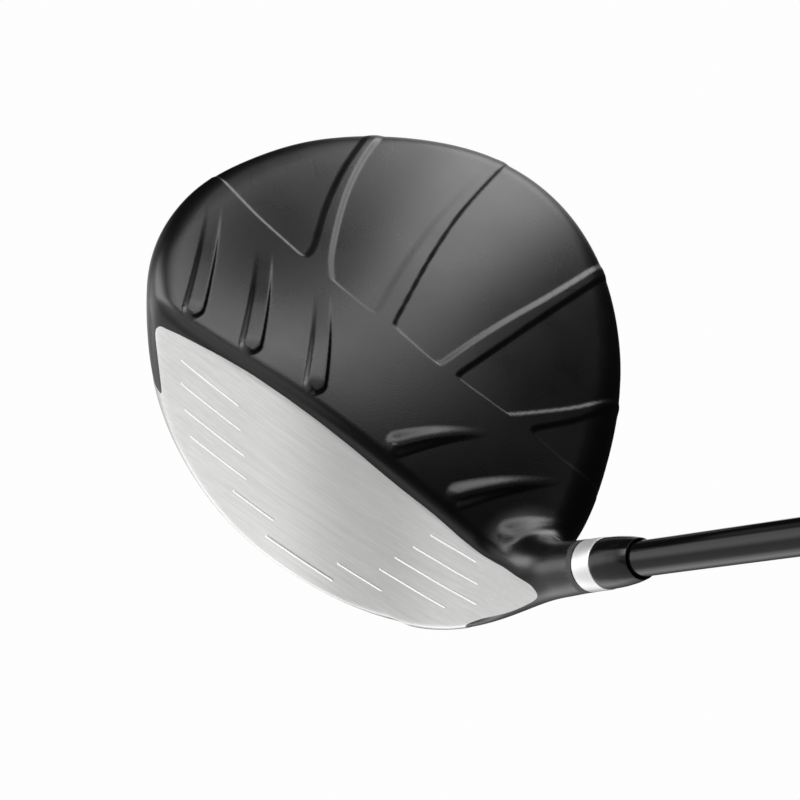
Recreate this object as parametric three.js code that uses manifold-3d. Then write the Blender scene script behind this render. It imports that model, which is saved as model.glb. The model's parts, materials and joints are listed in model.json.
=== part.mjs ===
// Golf driver, right-handed, at the address position: hollow metal head, adjustable hosel
// adapter, tapered shaft and rubber grip. Millimetres, +Z up. The origin is the centre of
// the small flat on the sole that rests on the ground; the face looks along -Y (the target
// line), the heel and the shaft are on the +X side and the toe on the -X side.
import * as THREE from 'three';
import { mergeVertices } from 'three/addons/utils/BufferGeometryUtils.js';
import Module from 'manifold-3d';

// ---------------------------------------------------------------- driving dimensions
const CLUB_LENGTH = 1162;            // along the shaft axis, from the ground to the butt end
const LIE = THREE.MathUtils.degToRad(58.07);     // shaft axis above the ground
const LEAN = THREE.MathUtils.degToRad(-0.64);    // shaft axis towards +Y
const HEEL = new THREE.Vector3(27.79, -19.70, 0);   // where the shaft axis meets the ground
const GAP = 0.3;                     // clearance between neighbouring pieces

const HOSEL_TOP = 73.02;             // end of the hosel along the shaft axis
const HOSEL_R = 6.58;
const HOSEL_TUBE_R = HOSEL_R + 0.5;  // the tube's lower part, inside the head
const RING_R = 6.26, RING_LEN = 6.56;            // exposed collar of the adapter
const RING_BASE = HOSEL_TOP + GAP, RING_TOP = HOSEL_TOP + RING_LEN;
const FERRULE_LEN = 11.95, FERRULE_R_BASE = 6.10, FERRULE_R_TOP = 4.90;

const SPLINES = 8;                   // teeth on the adapter, and slots in the hosel
const TOOTH = { width: 1.3, length: 7, height: 69.4, innerR: 4.3, outerR: 5.4 };
const SLOT = {
  width: TOOTH.width + 2 * GAP, length: 40, height: 83.4,
  innerR: 0, outerR: TOOTH.outerR + GAP,
};

// Head surface
const FACE = { y: -32.368, z: 28.48, bulgeR: 386.8, rollR: 298.4 };   // y, z: face centre
const LOFT = THREE.MathUtils.degToRad(10.82);    // face normal above the horizontal
// Crown height: each key is the term that its number multiplies.
const CROWN = {
  constant: 59.0614, x: -0.06112, y: -0.01465,
  xx: -0.004115, xy: 1.807e-05, yy: -0.0032469,
  xxy: -5.7779e-06, yyy: 5.7002e-06, xxxx: 4.0192e-07,
};
// Sole height: terms as above, plus an extra rise behind rearStartY.
const SOLE = { x: -0.03776, xx: 0.0072999, yy: 0.0026724, rear: 0.0010, rearStartY: -10, sink: 0.3 };
// Plan outline: radius about (0, OUTLINE_Y) as cosine and sine terms of rising order.
const OUTLINE_Y = 17.64;
const OUTLINE_COS = [63.9448, -5.2313, -2.1787, -2.4017, 0.6256, -0.4066, -0.3666, -0.019];
const OUTLINE_SIN = [0, -7.3908, -3.3086, -1.4112, 0.2394, -0.3298, 0.2915, 0.0634];
// Rounding where crown, outline and sole meet; the crown's grows from front to rear.
const BLEND = { crownFront: 5.38, crownRear: 8.92, startY: -29.4, lengthY: 37.24, sole: 18.33 };
const HEAD_CENTRE = new THREE.Vector3(0, 15, 27);   // all of the head can be seen from here

// Head construction
const WALL = 1.6;
const FACE_T = 2.9;
const FACE_INSET = 2.1;              // the face opening's edge inside the head surface
const CROWN_INSET = 7.0;             // the crown opening's edge inside the plan outline
const CROWN_FRONT = 5.0;             // the crown opening's edge behind the face
const CROWN_HOSEL_R = 11.9;          // the crown opening's edge around the shaft axis
const CROWN_MIN_Z = 33;
const TOP_Z = 90;                    // above the whole head

// Rear weight. Heights are along its axis: 0 at the sole surface, + out of the sole.
const WEIGHT_Y = 60, WEIGHT_R = 9.0, WEIGHT_T = 6.2;
const PORT_DEPTH = 7.4;
const WEIGHT_BASE = -PORT_DEPTH + 1.0;
const WEIGHT_TOP = WEIGHT_BASE + WEIGHT_T;

// Shaft and grip. Heights are along the shaft axis from the ground.
const SHAFT_R_TIP = 4.25, SHAFT_R_BUTT = 7.6, SHAFT_WALL = 1.35;
const SHAFT_TIP = 53.4, SHAFT_BUTT = CLUB_LENGTH - 4.3;
const TAPER_START = 104, TAPER_END = CLUB_LENGTH - 120;
const GRIP_R_MOUTH = 9.3, GRIP_R_BUTT = 13.4;
const GRIP_START = CLUB_LENGTH - 270, GRIP_END = CLUB_LENGTH - 3.6;
const TAPE_FIT = 0.3, TAPE_T = 0.35;

// ---------------------------------------------------------------- solid helpers
const wasm = await Module();
wasm.setup();

// Welds a geometry into a solid with its faces turned outwards.
function toSolid(geometry) {
  const bare = new THREE.BufferGeometry();
  bare.setAttribute('position', geometry.attributes.position);
  bare.setIndex(geometry.index);
  const welded = mergeVertices(bare, 1e-4);
  const position = welded.attributes.position;
  const index = welded.index.array;
  const corner = (i) => new THREE.Vector3().fromBufferAttribute(position, i);
  const triangles = [];
  let volume = 0;
  for (let i = 0; i < index.length; i += 3) {
    const [a, b, c] = [index[i], index[i + 1], index[i + 2]];
    if (a === b || b === c || c === a) continue;
    triangles.push(a, b, c);
    volume += corner(a).dot(corner(b).cross(corner(c)));
  }
  if (volume < 0) {
    for (let i = 0; i < triangles.length; i += 3) {
      [triangles[i + 1], triangles[i + 2]] = [triangles[i + 2], triangles[i + 1]];
    }
  }
  return new wasm.Manifold(new wasm.Mesh({
    numProp: 3,
    vertProperties: new Float32Array(position.array),
    triVerts: new Uint32Array(triangles),
  }));
}

function toGeometry(solid) {
  const mesh = solid.getMesh();
  const geometry = new THREE.BufferGeometry();
  const positions = new Float32Array(mesh.vertProperties);
  geometry.setAttribute('position', new THREE.BufferAttribute(positions, 3));
  geometry.setIndex(new THREE.BufferAttribute(new Uint32Array(mesh.triVerts), 1));
  geometry.computeVertexNormals();
  return geometry;
}

const cut = (solid, ...others) => others.reduce((rest, other) => rest.subtract(other), solid);
const join = (solid, ...others) => others.reduce((sum, other) => sum.add(other), solid);
const lerp = (a, b, t) => a + (b - a) * t;

// Halves lo..hi towards the place where isBelow turns from true to false.
function bisect(lo, hi, steps, isBelow) {
  for (let i = 0; i < steps; i++) {
    const middle = (lo + hi) / 2;
    if (isBelow(middle)) lo = middle;
    else hi = middle;
  }
  return (lo + hi) / 2;
}

// Profiles are [radius, height] pairs, turned about +Y; one clear of the axis is closed.
function turned(profile, segments = 28) {
  const points = profile.map(([radius, height]) => new THREE.Vector2(radius, height));
  if (profile[0][0] > 0 || profile.at(-1)[0] > 0) points.push(points[0].clone());
  return new THREE.LatheGeometry(points, segments);
}
const rod = (radius, from, to) => [[0, from], [radius, from], [radius, to], [0, to]];
const tube = (outside, inside) => [...outside, ...inside.reverse()];

function extruded(points, depth) {
  return new THREE.ExtrudeGeometry(new THREE.Shape(points), { depth, bevelEnabled: false });
}

// A six-pointed star socket along +Y, starting at height base.
function starSocket({ tipR, valleyR, depth, base }) {
  const points = [];
  for (let i = 0; i < 12; i++) {
    const angle = i * Math.PI / 6;
    const radius = i % 2 ? valleyR : tipR;
    points.push(new THREE.Vector2(radius * Math.cos(angle), radius * Math.sin(angle)));
  }
  return toSolid(extruded(points, depth).rotateX(-Math.PI / 2).translate(0, base, 0));
}

// An axis is an origin and the turn that takes +Y to its direction.
function axis(origin, direction) {
  const up = new THREE.Vector3(0, 1, 0);
  return { origin, turn: new THREE.Quaternion().setFromUnitVectors(up, direction) };
}
function solidOn({ origin, turn }, geometry) {
  const placement = new THREE.Matrix4().compose(origin, turn, new THREE.Vector3(1, 1, 1));
  return toSolid(geometry.applyMatrix4(placement));
}

const shaftAxis = axis(HEEL, new THREE.Vector3(
  Math.cos(LIE) * Math.cos(LEAN),
  Math.sin(LEAN),
  Math.sin(LIE) * Math.cos(LEAN),
));
const onShaft = (profile, segments) => solidOn(shaftAxis, turned(profile, segments));

// ---------------------------------------------------------------- head surface
function smoothMax(a, b, blend) {
  const near = Math.max(blend - Math.abs(a - b), 0) / blend;
  return Math.max(a, b) + near * near * blend * 0.25;
}

const crownZ = (x, y) => CROWN.constant + CROWN.x * x + CROWN.y * y
  + CROWN.xx * x * x + CROWN.xy * x * y + CROWN.yy * y * y
  + CROWN.xxy * x * x * y + CROWN.yyy * y ** 3 + CROWN.xxxx * x ** 4;

function soleZ(x, y) {
  const rear = Math.max(0, y - SOLE.rearStartY);
  return SOLE.x * x + SOLE.xx * x * x + SOLE.yy * y * y + SOLE.rear * rear * rear - SOLE.sink;
}

const faceY = (x, z) => FACE.y + (z - FACE.z) * Math.tan(LOFT)
  + x * x / (2 * FACE.bulgeR) + (z - FACE.z) ** 2 / (2 * FACE.rollR);

// Outline radius at an angle, and its rate of change.
function outlineAt(angle) {
  let radius = 0;
  let rate = 0;
  for (let k = 0; k < OUTLINE_COS.length; k++) {
    const cos = Math.cos(k * angle);
    const sin = Math.sin(k * angle);
    radius += OUTLINE_COS[k] * cos + OUTLINE_SIN[k] * sin;
    rate += -k * OUTLINE_COS[k] * sin + k * OUTLINE_SIN[k] * cos;
  }
  return [radius, rate];
}

// How much longer a vertical distance to a height field is than the true one.
function steepness(heightAt, x, y) {
  const step = 0.01;
  const slopeX = (heightAt(x + step, y) - heightAt(x - step, y)) / (2 * step);
  const slopeY = (heightAt(x, y + step) - heightAt(x, y - step)) / (2 * step);
  return Math.hypot(1, slopeX, slopeY);
}

// Signed distance, near enough, to the head without its face cut and hosel.
function headDistance(x, y, z) {
  const toCrown = (z - crownZ(x, y)) / steepness(crownZ, x, y);
  const toSole = (soleZ(x, y) - z) / steepness(soleZ, x, y);

  const behind = y - OUTLINE_Y;
  const [radius, rate] = outlineAt(Math.atan2(behind, x));
  const toOutline = (Math.hypot(x, behind) + 1e-9 - radius) / Math.hypot(1, rate / radius);

  const f = Math.min(1, Math.max(0, (y - BLEND.startY) / BLEND.lengthY));
  const crownBlend = lerp(BLEND.crownFront, BLEND.crownRear, f * f * (3 - 2 * f));
  return smoothMax(smoothMax(toCrown, toOutline, crownBlend), toSole, BLEND.sole);
}

// Height of the finished crown surface at (x, y).
const crownSurface = (x, y) => bisect(20, 75, 36, (z) => headDistance(x, y, z) < 0);

// The head's shape, grown (+) or shrunk (-) by an offset, cast out from HEAD_CENTRE.
function headSolid(offset, detail) {
  const geometry = new THREE.IcosahedronGeometry(1, detail);
  geometry.rotateX(0.37);
  const position = geometry.attributes.position;
  for (let i = 0; i < position.count; i++) {
    const ray = new THREE.Vector3().fromBufferAttribute(position, i).normalize();
    const along = (reach) => HEAD_CENTRE.clone().addScaledVector(ray, reach);
    const reach = bisect(4, 120, 40, (r) => headDistance(...along(r)) < offset);
    position.setXYZ(i, ...along(reach));
  }
  return toSolid(geometry);
}

// Everything behind the face surface moved back by `back`, out to y = farY.
function behindFace(back, farY = 140) {
  const geometry = new THREE.BoxGeometry(190, 1, 110, 13, 1, 9);
  const position = geometry.attributes.position;
  for (let i = 0; i < position.count; i++) {
    const x = position.getX(i);
    const z = position.getZ(i) + 32;
    position.setXYZ(i, x, position.getY(i) < 0 ? faceY(x, z) + back : farY, z);
  }
  return toSolid(geometry);
}

// A vertical prism over the head's outline pulled in by `inset`.
function outlinePrism(inset) {
  const segments = 44;
  const baseZ = 20;
  const points = [];
  for (let i = 0; i < segments; i++) {
    const angle = i / segments * 2 * Math.PI;
    const radius = outlineAt(angle)[0] - inset;
    const y = OUTLINE_Y + radius * Math.sin(angle);
    points.push(new THREE.Vector2(radius * Math.cos(angle), y));
  }
  return toSolid(extruded(points, TOP_Z - baseZ).translate(0, 0, baseZ));
}

// A horizontal slab wider than the head.
function slab(z0, z1) {
  return toSolid(new THREE.BoxGeometry(200, 200, z1 - z0).translate(0, 20, (z0 + z1) / 2));
}

// ---------------------------------------------------------------- head blanks and regions
const outer = headSolid(0, 8).intersect(behindFace(0)).intersect(slab(0, TOP_Z));
const inner = headSolid(-WALL, 5).intersect(behindFace(FACE_T + 0.1));
const shell = cut(outer, inner);
const upperHalf = slab(CROWN_MIN_Z, TOP_Z);

// The crown's place in plan, clear of the outline, the hosel and the face.
function crownRegion(clearance) {
  const aroundHosel = onShaft(rod(CROWN_HOSEL_R + clearance, -10, 92), 24);
  return cut(outlinePrism(CROWN_INSET + clearance), aroundHosel)
    .intersect(behindFace(CROWN_FRONT + clearance));
}
const crownOpening = crownRegion(0);
const crownFit = crownRegion(GAP);

// The face stops short of the hosel tube, which passes close behind it at the heel.
const aroundTube = (clearance) => onShaft(rod(HOSEL_TUBE_R + clearance, -14, 92));

// ---------------------------------------------------------------- rear weight axis
const soleSlope = soleZ(0, WEIGHT_Y + 0.5) - soleZ(0, WEIGHT_Y - 0.5);   // over 1 mm
const weightZ = bisect(0, 30, 40, (z) => headDistance(0, WEIGHT_Y, z) > 0);
const weightAxis = axis(
  new THREE.Vector3(0, WEIGHT_Y, weightZ),
  new THREE.Vector3(0, soleSlope, -1).normalize(),
);

// ---------------------------------------------------------------- body shell
function splineBars({ width, length, height, innerR, outerR }) {
  return Array.from({ length: SPLINES }, (_, i) => {
    const depth = outerR - innerR;
    return new THREE.BoxGeometry(width, length, depth)
      .translate(0, height, innerR + depth / 2)
      .rotateY(i * 2 * Math.PI / SPLINES);
  });
}

// Hosel: a tube through the head and a flared neck with a cone inside it.
function hoselParts() {
  const flare = onShaft([
    [0, 36], [14.0, 36], [13.6, 42], [11.6, 47.5], [9.4, 53], [7.9, 58], [7.0, 63],
    [HOSEL_R, 68], [HOSEL_R, HOSEL_TOP], [0, HOSEL_TOP],
  ]);
  const cone = onShaft([
    [0, 39.4], [9.0, 49.4], [HOSEL_R, 61], [HOSEL_R, HOSEL_TOP], [0, HOSEL_TOP],
  ]);
  const hollow = headSolid(-WALL - 1.2, 5);
  return {
    tubeInHead: onShaft(rod(HOSEL_TUBE_R, -12, 40.5)).intersect(outer),
    neck: cut(flare.intersect(headSolid(6, 4)), hollow, crownOpening),
    neckCore: cut(cone, hollow, crownOpening),
  };
}

function bodyShell() {
  // Screw pocket from the sole, narrow screw hole, then the adapter's bore.
  const bores = onShaft([
    [0, -14], [5.4, -14], [5.4, 18.9], [3.2, 18.9],
    [3.2, 39.9], [5.3, 39.9], [5.3, 100], [0, 100],
  ]);
  const slots = splineBars(SLOT).map((bar) => solidOn(shaftAxis, bar));

  const bossR = WEIGHT_R + 2.2;
  const bossBase = -PORT_DEPTH - 1.9;
  const boss = solidOn(weightAxis, turned([
    [0, 6], [bossR, 6], [bossR, bossBase], [4.6, bossBase], [4.6, -15.5], [0, -15.5],
  ], 24)).intersect(outer);
  const portR = WEIGHT_R + GAP;
  const port = solidOn(weightAxis, turned([
    [0, 30], [portR, 30], [portR, -PORT_DEPTH], [2.3, -PORT_DEPTH], [2.3, -14.2], [0, -14.2],
  ], 24));

  const faceOpening = cut(
    behindFace(-10, 0).intersect(headSolid(-FACE_INSET, 7)).subtract(behindFace(FACE_T + 0.2)),
    aroundTube(0),
  );

  const { tubeInHead, neck, neckCore } = hoselParts();
  let body = cut(shell, crownOpening.intersect(upperHalf));
  body = cut(body, faceOpening);
  body = join(body, tubeInHead, neck, cut(boss, crownOpening));
  body = join(body, neckCore);
  body = cut(body, bores, port, ...slots);
  // The hosel parts reach into the face opening and below the ground flat.
  return cut(body, faceOpening, slab(-20, 0));
}

function facePlate() {
  const blank = outer.intersect(headSolid(-FACE_INSET - GAP, 7));
  return cut(blank, behindFace(FACE_T), aroundTube(GAP));
}

// ---------------------------------------------------------------- crown and its ridges
// Each line runs in plan from its front end to its rear end; widths and heights likewise.
const CROWN_RIDGES = [
  {   // wedges along the front edge
    widths: [6.2, 3.2], heights: [1.9, 0.25],
    lines: [
      [[-45.4, -20.6], [-59.6, 6.0]], [[-28.8, -21.2], [-42.6, 1.8]],
      [[-10.6, -21.3], [-25.0, -1.4]],
      [[10.8, -21.4], [26.2, -3.2]], [[29.4, -21.4], [46.2, -0.2]],
    ],
  },
  {   // low ribs behind them
    widths: [6.0, 2.6], heights: [0.5, 0.5],
    lines: [
      [[-29.2, 11.5], [-38.0, 46.0]], [[-8.6, 7.2], [-13.0, 60.0]],
      [[11.0, 6.2], [21.8, 54.0]], [[31.8, 8.2], [43.4, 25.0]],
    ],
  },
];

// A ridge with its crest along the middle, following the crown and sunk into it.
function ridge([start, end], widths, heights) {
  const stations = 5;
  const sunk = 0.9;
  const edgeHeight = 0.05;
  const dx = end[0] - start[0];
  const dy = end[1] - start[1];
  const length = Math.hypot(dx, dy);

  const positions = [];
  for (let i = 0; i < stations; i++) {
    const t = i / (stations - 1);
    const halfWidth = lerp(...widths, t) / 2;
    for (const side of [1, 0, -1]) {
      const x = lerp(start[0], end[0], t) - dy / length * halfWidth * side;
      const y = lerp(start[1], end[1], t) + dx / length * halfWidth * side;
      const z = crownSurface(x, y);
      const height = side === 0 ? lerp(...heights, t) : edgeHeight;
      positions.push(x, y, z - sunk, x, y, z + height);
    }
  }

  // Corner at station i, column j (0 to 2 across), bottom (0) or top (1).
  const corner = (i, j, top) => i * 6 + j * 2 + top;
  const index = [];
  const quad = (a, b, c, d) => index.push(a, b, c, a, c, d);
  for (let i = 0; i + 1 < stations; i++) {
    const next = i + 1;
    for (let j = 0; j < 2; j++) {
      quad(corner(i, j, 1), corner(i, j + 1, 1), corner(next, j + 1, 1), corner(next, j, 1));
      quad(corner(i, j, 0), corner(next, j, 0), corner(next, j + 1, 0), corner(i, j + 1, 0));
    }
    quad(corner(i, 0, 0), corner(i, 0, 1), corner(next, 0, 1), corner(next, 0, 0));
    quad(corner(i, 2, 0), corner(next, 2, 0), corner(next, 2, 1), corner(i, 2, 1));
  }
  for (const i of [0, stations - 1]) {
    for (let j = 0; j < 2; j++) {
      const cap = [corner(i, j, 0), corner(i, j + 1, 0), corner(i, j + 1, 1), corner(i, j, 1)];
      if (i > 0) cap.reverse();
      quad(...cap);
    }
  }
  const geometry = new THREE.BufferGeometry();
  geometry.setAttribute('position', new THREE.Float32BufferAttribute(positions, 3));
  geometry.setIndex(index);
  return toSolid(geometry);
}

function crownShell() {
  const trim = crownFit.intersect(upperHalf);
  let crown = shell.intersect(crownFit).intersect(upperHalf);
  for (const { widths, heights, lines } of CROWN_RIDGES) {
    for (const line of lines) crown = join(crown, ridge(line, widths, heights).intersect(trim));
  }
  return crown;
}

// ---------------------------------------------------------------- rear weight pieces
function weightProfile() {
  return [
    [3.0, WEIGHT_BASE], [WEIGHT_R, WEIGHT_BASE], [WEIGHT_R, WEIGHT_TOP - 0.8],
    [WEIGHT_R - 0.8, WEIGHT_TOP], [4.6, WEIGHT_TOP],
    [4.6, WEIGHT_BASE + 2.2], [3.0, WEIGHT_BASE + 2.2],
  ];
}

function weightPadProfile() {
  const radius = WEIGHT_R - 1.2;
  const [base, top] = [WEIGHT_BASE - 0.8, WEIGHT_BASE - 0.2];
  return [[3.2, base], [radius, base], [radius, top], [3.2, top]];
}

function weightScrew() {
  const headBase = WEIGHT_BASE + 2.4;
  const headTop = WEIGHT_TOP - 0.5;
  const screw = toSolid(turned([
    [0, -12.6], [1.5, -12.6], [2.0, -12.0], [2.0, headBase],
    [4.1, headBase], [4.1, headTop - 0.4], [3.7, headTop], [0, headTop],
  ], 24));
  return cut(screw, starSocket({ tipR: 2.2, valleyR: 1.55, depth: 3, base: WEIGHT_TOP - 2.6 }));
}

// ---------------------------------------------------------------- adapter and hosel screw
function adapterSleeve() {
  const sleeve = toSolid(turned([
    [2.25, 40.9], [4.6, 40.9], [5.0, 41.7], [5.0, RING_BASE],
    [RING_R - 0.25, RING_BASE], [RING_R, RING_BASE + 0.3],
    [RING_R, RING_TOP - 0.3], [RING_R - 0.25, RING_TOP],
    [4.5, RING_TOP], [4.5, 51.4], [2.25, 51.4],
  ]));
  // Teeth are hollowed so that they stay out of the sleeve's bore.
  const core = toSolid(turned(rod(4.7, 60, 80)));
  return join(sleeve, ...splineBars(TOOTH).map((bar) => cut(toSolid(bar), core)));
}

function ferruleProfile() {
  const base = RING_TOP + 0.2;
  const top = RING_TOP + FERRULE_LEN;
  return [
    [4.6, base], [FERRULE_R_BASE - 0.1, base], [FERRULE_R_BASE, RING_TOP + 0.6],
    [6.0, RING_TOP + 4], [5.5, RING_TOP + 8.5],
    [FERRULE_R_TOP + 0.1, top - 0.6], [FERRULE_R_TOP - 0.1, top], [4.6, top],
  ];
}

function hoselScrew() {
  const screw = toSolid(turned([
    [0, 11.2], [4.2, 11.2], [4.5, 11.6], [4.5, 16.1],
    [2.0, 16.1], [2.0, 49.0], [1.5, 49.8], [0, 49.8],
  ], 24));
  return cut(screw, starSocket({ tipR: 2.5, valleyR: 1.7, depth: 6, base: 8.6 }));
}

const WASHER_PROFILE = [[2.5, 16.4], [4.6, 16.4], [4.6, 17.3], [3.6, 18.5], [2.5, 18.5]];
const CLIP_PROFILE = [[2.35, 38.0], [2.9, 38.0], [2.9, 38.8], [2.35, 38.8]];

// ---------------------------------------------------------------- shaft and grip
function shaftR(height) {
  const t = (height - TAPER_START) / (TAPER_END - TAPER_START);
  return lerp(SHAFT_R_TIP, SHAFT_R_BUTT, Math.min(1, Math.max(0, t)));
}
const aroundShaft = (heights, offset) => heights.map((height) => [shaftR(height) + offset, height]);

function shaftProfile() {
  const heights = [SHAFT_TIP, TAPER_START, 360, 620, 900, SHAFT_BUTT];
  return tube(aroundShaft(heights, 0), aroundShaft(heights, -SHAFT_WALL));
}

function tipPlugProfile() {
  const base = SHAFT_TIP + 1;
  const top = SHAFT_TIP + 12.5;
  return [[0, base], [2.4, base], [2.55, SHAFT_TIP + 1.6], [2.55, top], [0, top]];
}

function gripTapeProfile() {
  const heights = [GRIP_START + 6, GRIP_START + 90, GRIP_START + 180, GRIP_END - 0.4];
  return tube(aroundShaft(heights, TAPE_FIT + TAPE_T), aroundShaft(heights, TAPE_FIT));
}

function gripProfile() {
  const outside = [
    [GRIP_R_MOUTH, GRIP_START], [GRIP_R_MOUTH + 0.5, GRIP_START + 8],
    [10.3, GRIP_START + 90], [11.5, GRIP_START + 180], [12.6, GRIP_START + 235],
    [GRIP_R_BUTT, GRIP_END],
  ];
  const heights = [GRIP_START, GRIP_START + 90, GRIP_START + 180, GRIP_END];
  return tube(outside, aroundShaft(heights, TAPE_FIT + TAPE_T + GAP));
}

function gripCapProfile() {
  const base = GRIP_END + GAP;
  return [
    [1.3, base], [GRIP_R_BUTT, base], [GRIP_R_BUTT, CLUB_LENGTH - 1.6],
    [GRIP_R_BUTT - 1.2, CLUB_LENGTH - 0.3], [GRIP_R_BUTT - 2.4, CLUB_LENGTH],
    [1.3, CLUB_LENGTH],
  ];
}

// ---------------------------------------------------------------- materials
const MATERIALS = {
  blackPaint: { color: 0x1d1d1f, roughness: 0.55, metalness: 0.1 },
  brushedMetal: { color: 0xc9cacc, roughness: 0.35, metalness: 1 },
  steel: { color: 0xb4b6b9, roughness: 0.3, metalness: 1 },
  weightMetal: { color: 0x8f9194, roughness: 0.35, metalness: 1 },
  pad: { color: 0x222222, roughness: 0.9, metalness: 0 },
  ferrule: { color: 0x0c0c0d, roughness: 0.2, metalness: 0 },
  shaft: { color: 0x101012, roughness: 0.2, metalness: 0.1 },
  plug: { color: 0x6d6d68, roughness: 0.7, metalness: 0 },
  tape: { color: 0xd8d2bd, roughness: 0.9, metalness: 0 },
  grip: { color: 0x1a1a1b, roughness: 0.85, metalness: 0 },
  gripCap: { color: 0x161617, roughness: 0.8, metalness: 0 },
  washer: { color: 0x8d8f92, roughness: 0.35, metalness: 1 },
  clip: { color: 0x55575a, roughness: 0.4, metalness: 1 },
};

// ---------------------------------------------------------------- assembly
function add(parent, name, geometry, material) {
  const mesh = new THREE.Mesh(geometry, new THREE.MeshStandardMaterial(MATERIALS[material]));
  mesh.name = name;
  parent.add(mesh);
}
function addGroup(parent, { origin, turn }) {
  const group = new THREE.Group();
  group.position.copy(origin);
  group.quaternion.copy(turn);
  parent.add(group);
  return group;
}

const driver = new THREE.Group();
add(driver, 'body_shell', toGeometry(bodyShell()), 'blackPaint');
add(driver, 'crown', toGeometry(crownShell()), 'blackPaint');
add(driver, 'face_plate', toGeometry(facePlate()), 'brushedMetal');

const weight = addGroup(driver, weightAxis);
add(weight, 'rear_weight', turned(weightProfile()), 'weightMetal');
add(weight, 'rear_weight_pad', turned(weightPadProfile(), 24), 'pad');
add(weight, 'rear_weight_screw', toGeometry(weightScrew()), 'steel');

const shaft = addGroup(driver, shaftAxis);
add(shaft, 'adapter_sleeve', toGeometry(adapterSleeve()), 'brushedMetal');
add(shaft, 'ferrule', turned(ferruleProfile()), 'ferrule');
add(shaft, 'shaft', turned(shaftProfile()), 'shaft');
add(shaft, 'tip_plug', turned(tipPlugProfile(), 20), 'plug');
add(shaft, 'grip_tape', turned(gripTapeProfile()), 'tape');
add(shaft, 'grip', turned(gripProfile()), 'grip');
add(shaft, 'grip_cap', turned(gripCapProfile()), 'gripCap');
add(shaft, 'hosel_screw', toGeometry(hoselScrew()), 'steel');
add(shaft, 'hosel_screw_washer', turned(WASHER_PROFILE, 24), 'washer');
add(shaft, 'hosel_screw_clip', turned(CLIP_PROFILE, 20), 'clip');

export default driver;
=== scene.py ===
# A golf driver: hollow head, shaft with grip, hosel screw and rear weight. Shapes are in
# millimetres: +Z up, sole near z = 0, face towards -Y, toe at -X, shaft rising towards +X.
import json
import math
from collections import namedtuple
import bpy
import numpy as np
from mathutils import Matrix


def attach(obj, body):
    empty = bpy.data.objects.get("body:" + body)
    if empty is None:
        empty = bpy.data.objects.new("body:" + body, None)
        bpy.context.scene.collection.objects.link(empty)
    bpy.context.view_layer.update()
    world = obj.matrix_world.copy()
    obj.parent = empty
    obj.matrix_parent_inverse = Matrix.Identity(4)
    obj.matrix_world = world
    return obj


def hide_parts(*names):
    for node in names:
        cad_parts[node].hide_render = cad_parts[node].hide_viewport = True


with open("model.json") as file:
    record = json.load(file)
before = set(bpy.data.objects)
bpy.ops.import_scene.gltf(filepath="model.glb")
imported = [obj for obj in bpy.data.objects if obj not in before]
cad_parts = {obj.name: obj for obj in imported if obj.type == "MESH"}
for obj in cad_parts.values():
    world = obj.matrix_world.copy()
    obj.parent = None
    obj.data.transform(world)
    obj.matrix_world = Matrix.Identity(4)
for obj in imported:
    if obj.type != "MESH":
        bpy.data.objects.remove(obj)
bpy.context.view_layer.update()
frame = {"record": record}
MM = 0.001
TURN = 2 * math.pi

# =====================================================================
# Form of the head
# =====================================================================
# face: its middle, the loft, and the radii of its bulge (along x) and roll (along z)
FACE_Y, FACE_Z = -32.3681, 28.4767
LOFT = math.radians(10.81538)
BULGE_RADIUS, ROLL_RADIUS = 386.8252, 298.4352
TAN_LOFT, COS_LOFT = math.tan(LOFT), math.cos(LOFT)

# crown height: one coefficient per term in x and y
CROWN_0, CROWN_X, CROWN_Y = 59.0614, -0.06112, -0.01465
CROWN_XX, CROWN_XY, CROWN_YY = -0.004115, 1.807e-05, -0.0032469
CROWN_XXY, CROWN_YYY, CROWN_XXXX = -5.7779e-06, 5.7002e-06, 4.0192e-07

# sole height, with an extra rise behind y = SOLE_REAR_FROM
SOLE_X, SOLE_XX, SOLE_YY = -0.03776, 0.0072999, 0.0026724
SOLE_REAR, SOLE_REAR_FROM = 0.0010, -10.0
SOLE_SINK = 0.3

# outline seen from above: a mean radius round (0, OUTLINE_Y) plus waves, one per
# 1, 2, 3... turns, each (cosine, sine)
OUTLINE_Y = 17.64
OUTLINE_RADIUS = 63.9448
OUTLINE_WAVES = [
    (-5.2313, -7.3908), (-2.1787, -3.3086), (-2.4017, -1.4112), (0.6256, 0.2394),
    (-0.4066, -0.3298), (-0.3666, 0.2915), (-0.019, 0.0634)]

# widths over which neighbouring surfaces blend
CROWN_BLEND_FRONT, CROWN_BLEND_REAR = 5.3791, 8.9188
FACE_BLEND, TRUE_FACE_BLEND = 3.281, 0.4
SOLE_BLEND, GROUND_BLEND, NECK_BLEND = 18.3258, 0.6, 10.5597

# the shaft axis leaves z = 0 at HEEL_POINT; stations are measured along it from there
HEEL_POINT = np.array([27.7899, -19.6959, 0.0])
LIE, LEAN = math.radians(58.06878), math.radians(-0.63504)
SHAFT_AXIS = np.array([
    math.cos(LIE) * math.cos(LEAN), math.sin(LEAN), math.sin(LIE) * math.cos(LEAN)])
NECK_LENGTH, NECK_RADIUS = 73.0158, 6.5793
NECK_TOP = NECK_LENGTH + 0.18

joints = {joint["name"]: joint for joint in frame["record"]["behaviour"]["joints"]}
WEIGHT_AXIS = np.array(joints["rear_weight_travel"]["axis"], float)
WEIGHT_AXIS /= np.linalg.norm(WEIGHT_AXIS)
WEIGHT_POINT = np.array(joints["rear_weight_screw_turn"]["pos_m"], float) / MM
WEIGHT_HOLE_RADIUS = 9.3
SCREW_HOLE_RADIUS = 5.4


def smooth(t):
    t = np.clip(t, 0, 1)
    return t * t * (3 - 2 * t)


def fade(value, start, end):
    """Eases from 0 at start to 1 at end, in either direction."""
    return smooth((value - start) / (end - start))


def smooth_max(a, b, width):
    h = np.maximum(width - np.abs(a - b), 0) / width
    return np.maximum(a, b) + h * h * width * 0.25


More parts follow.
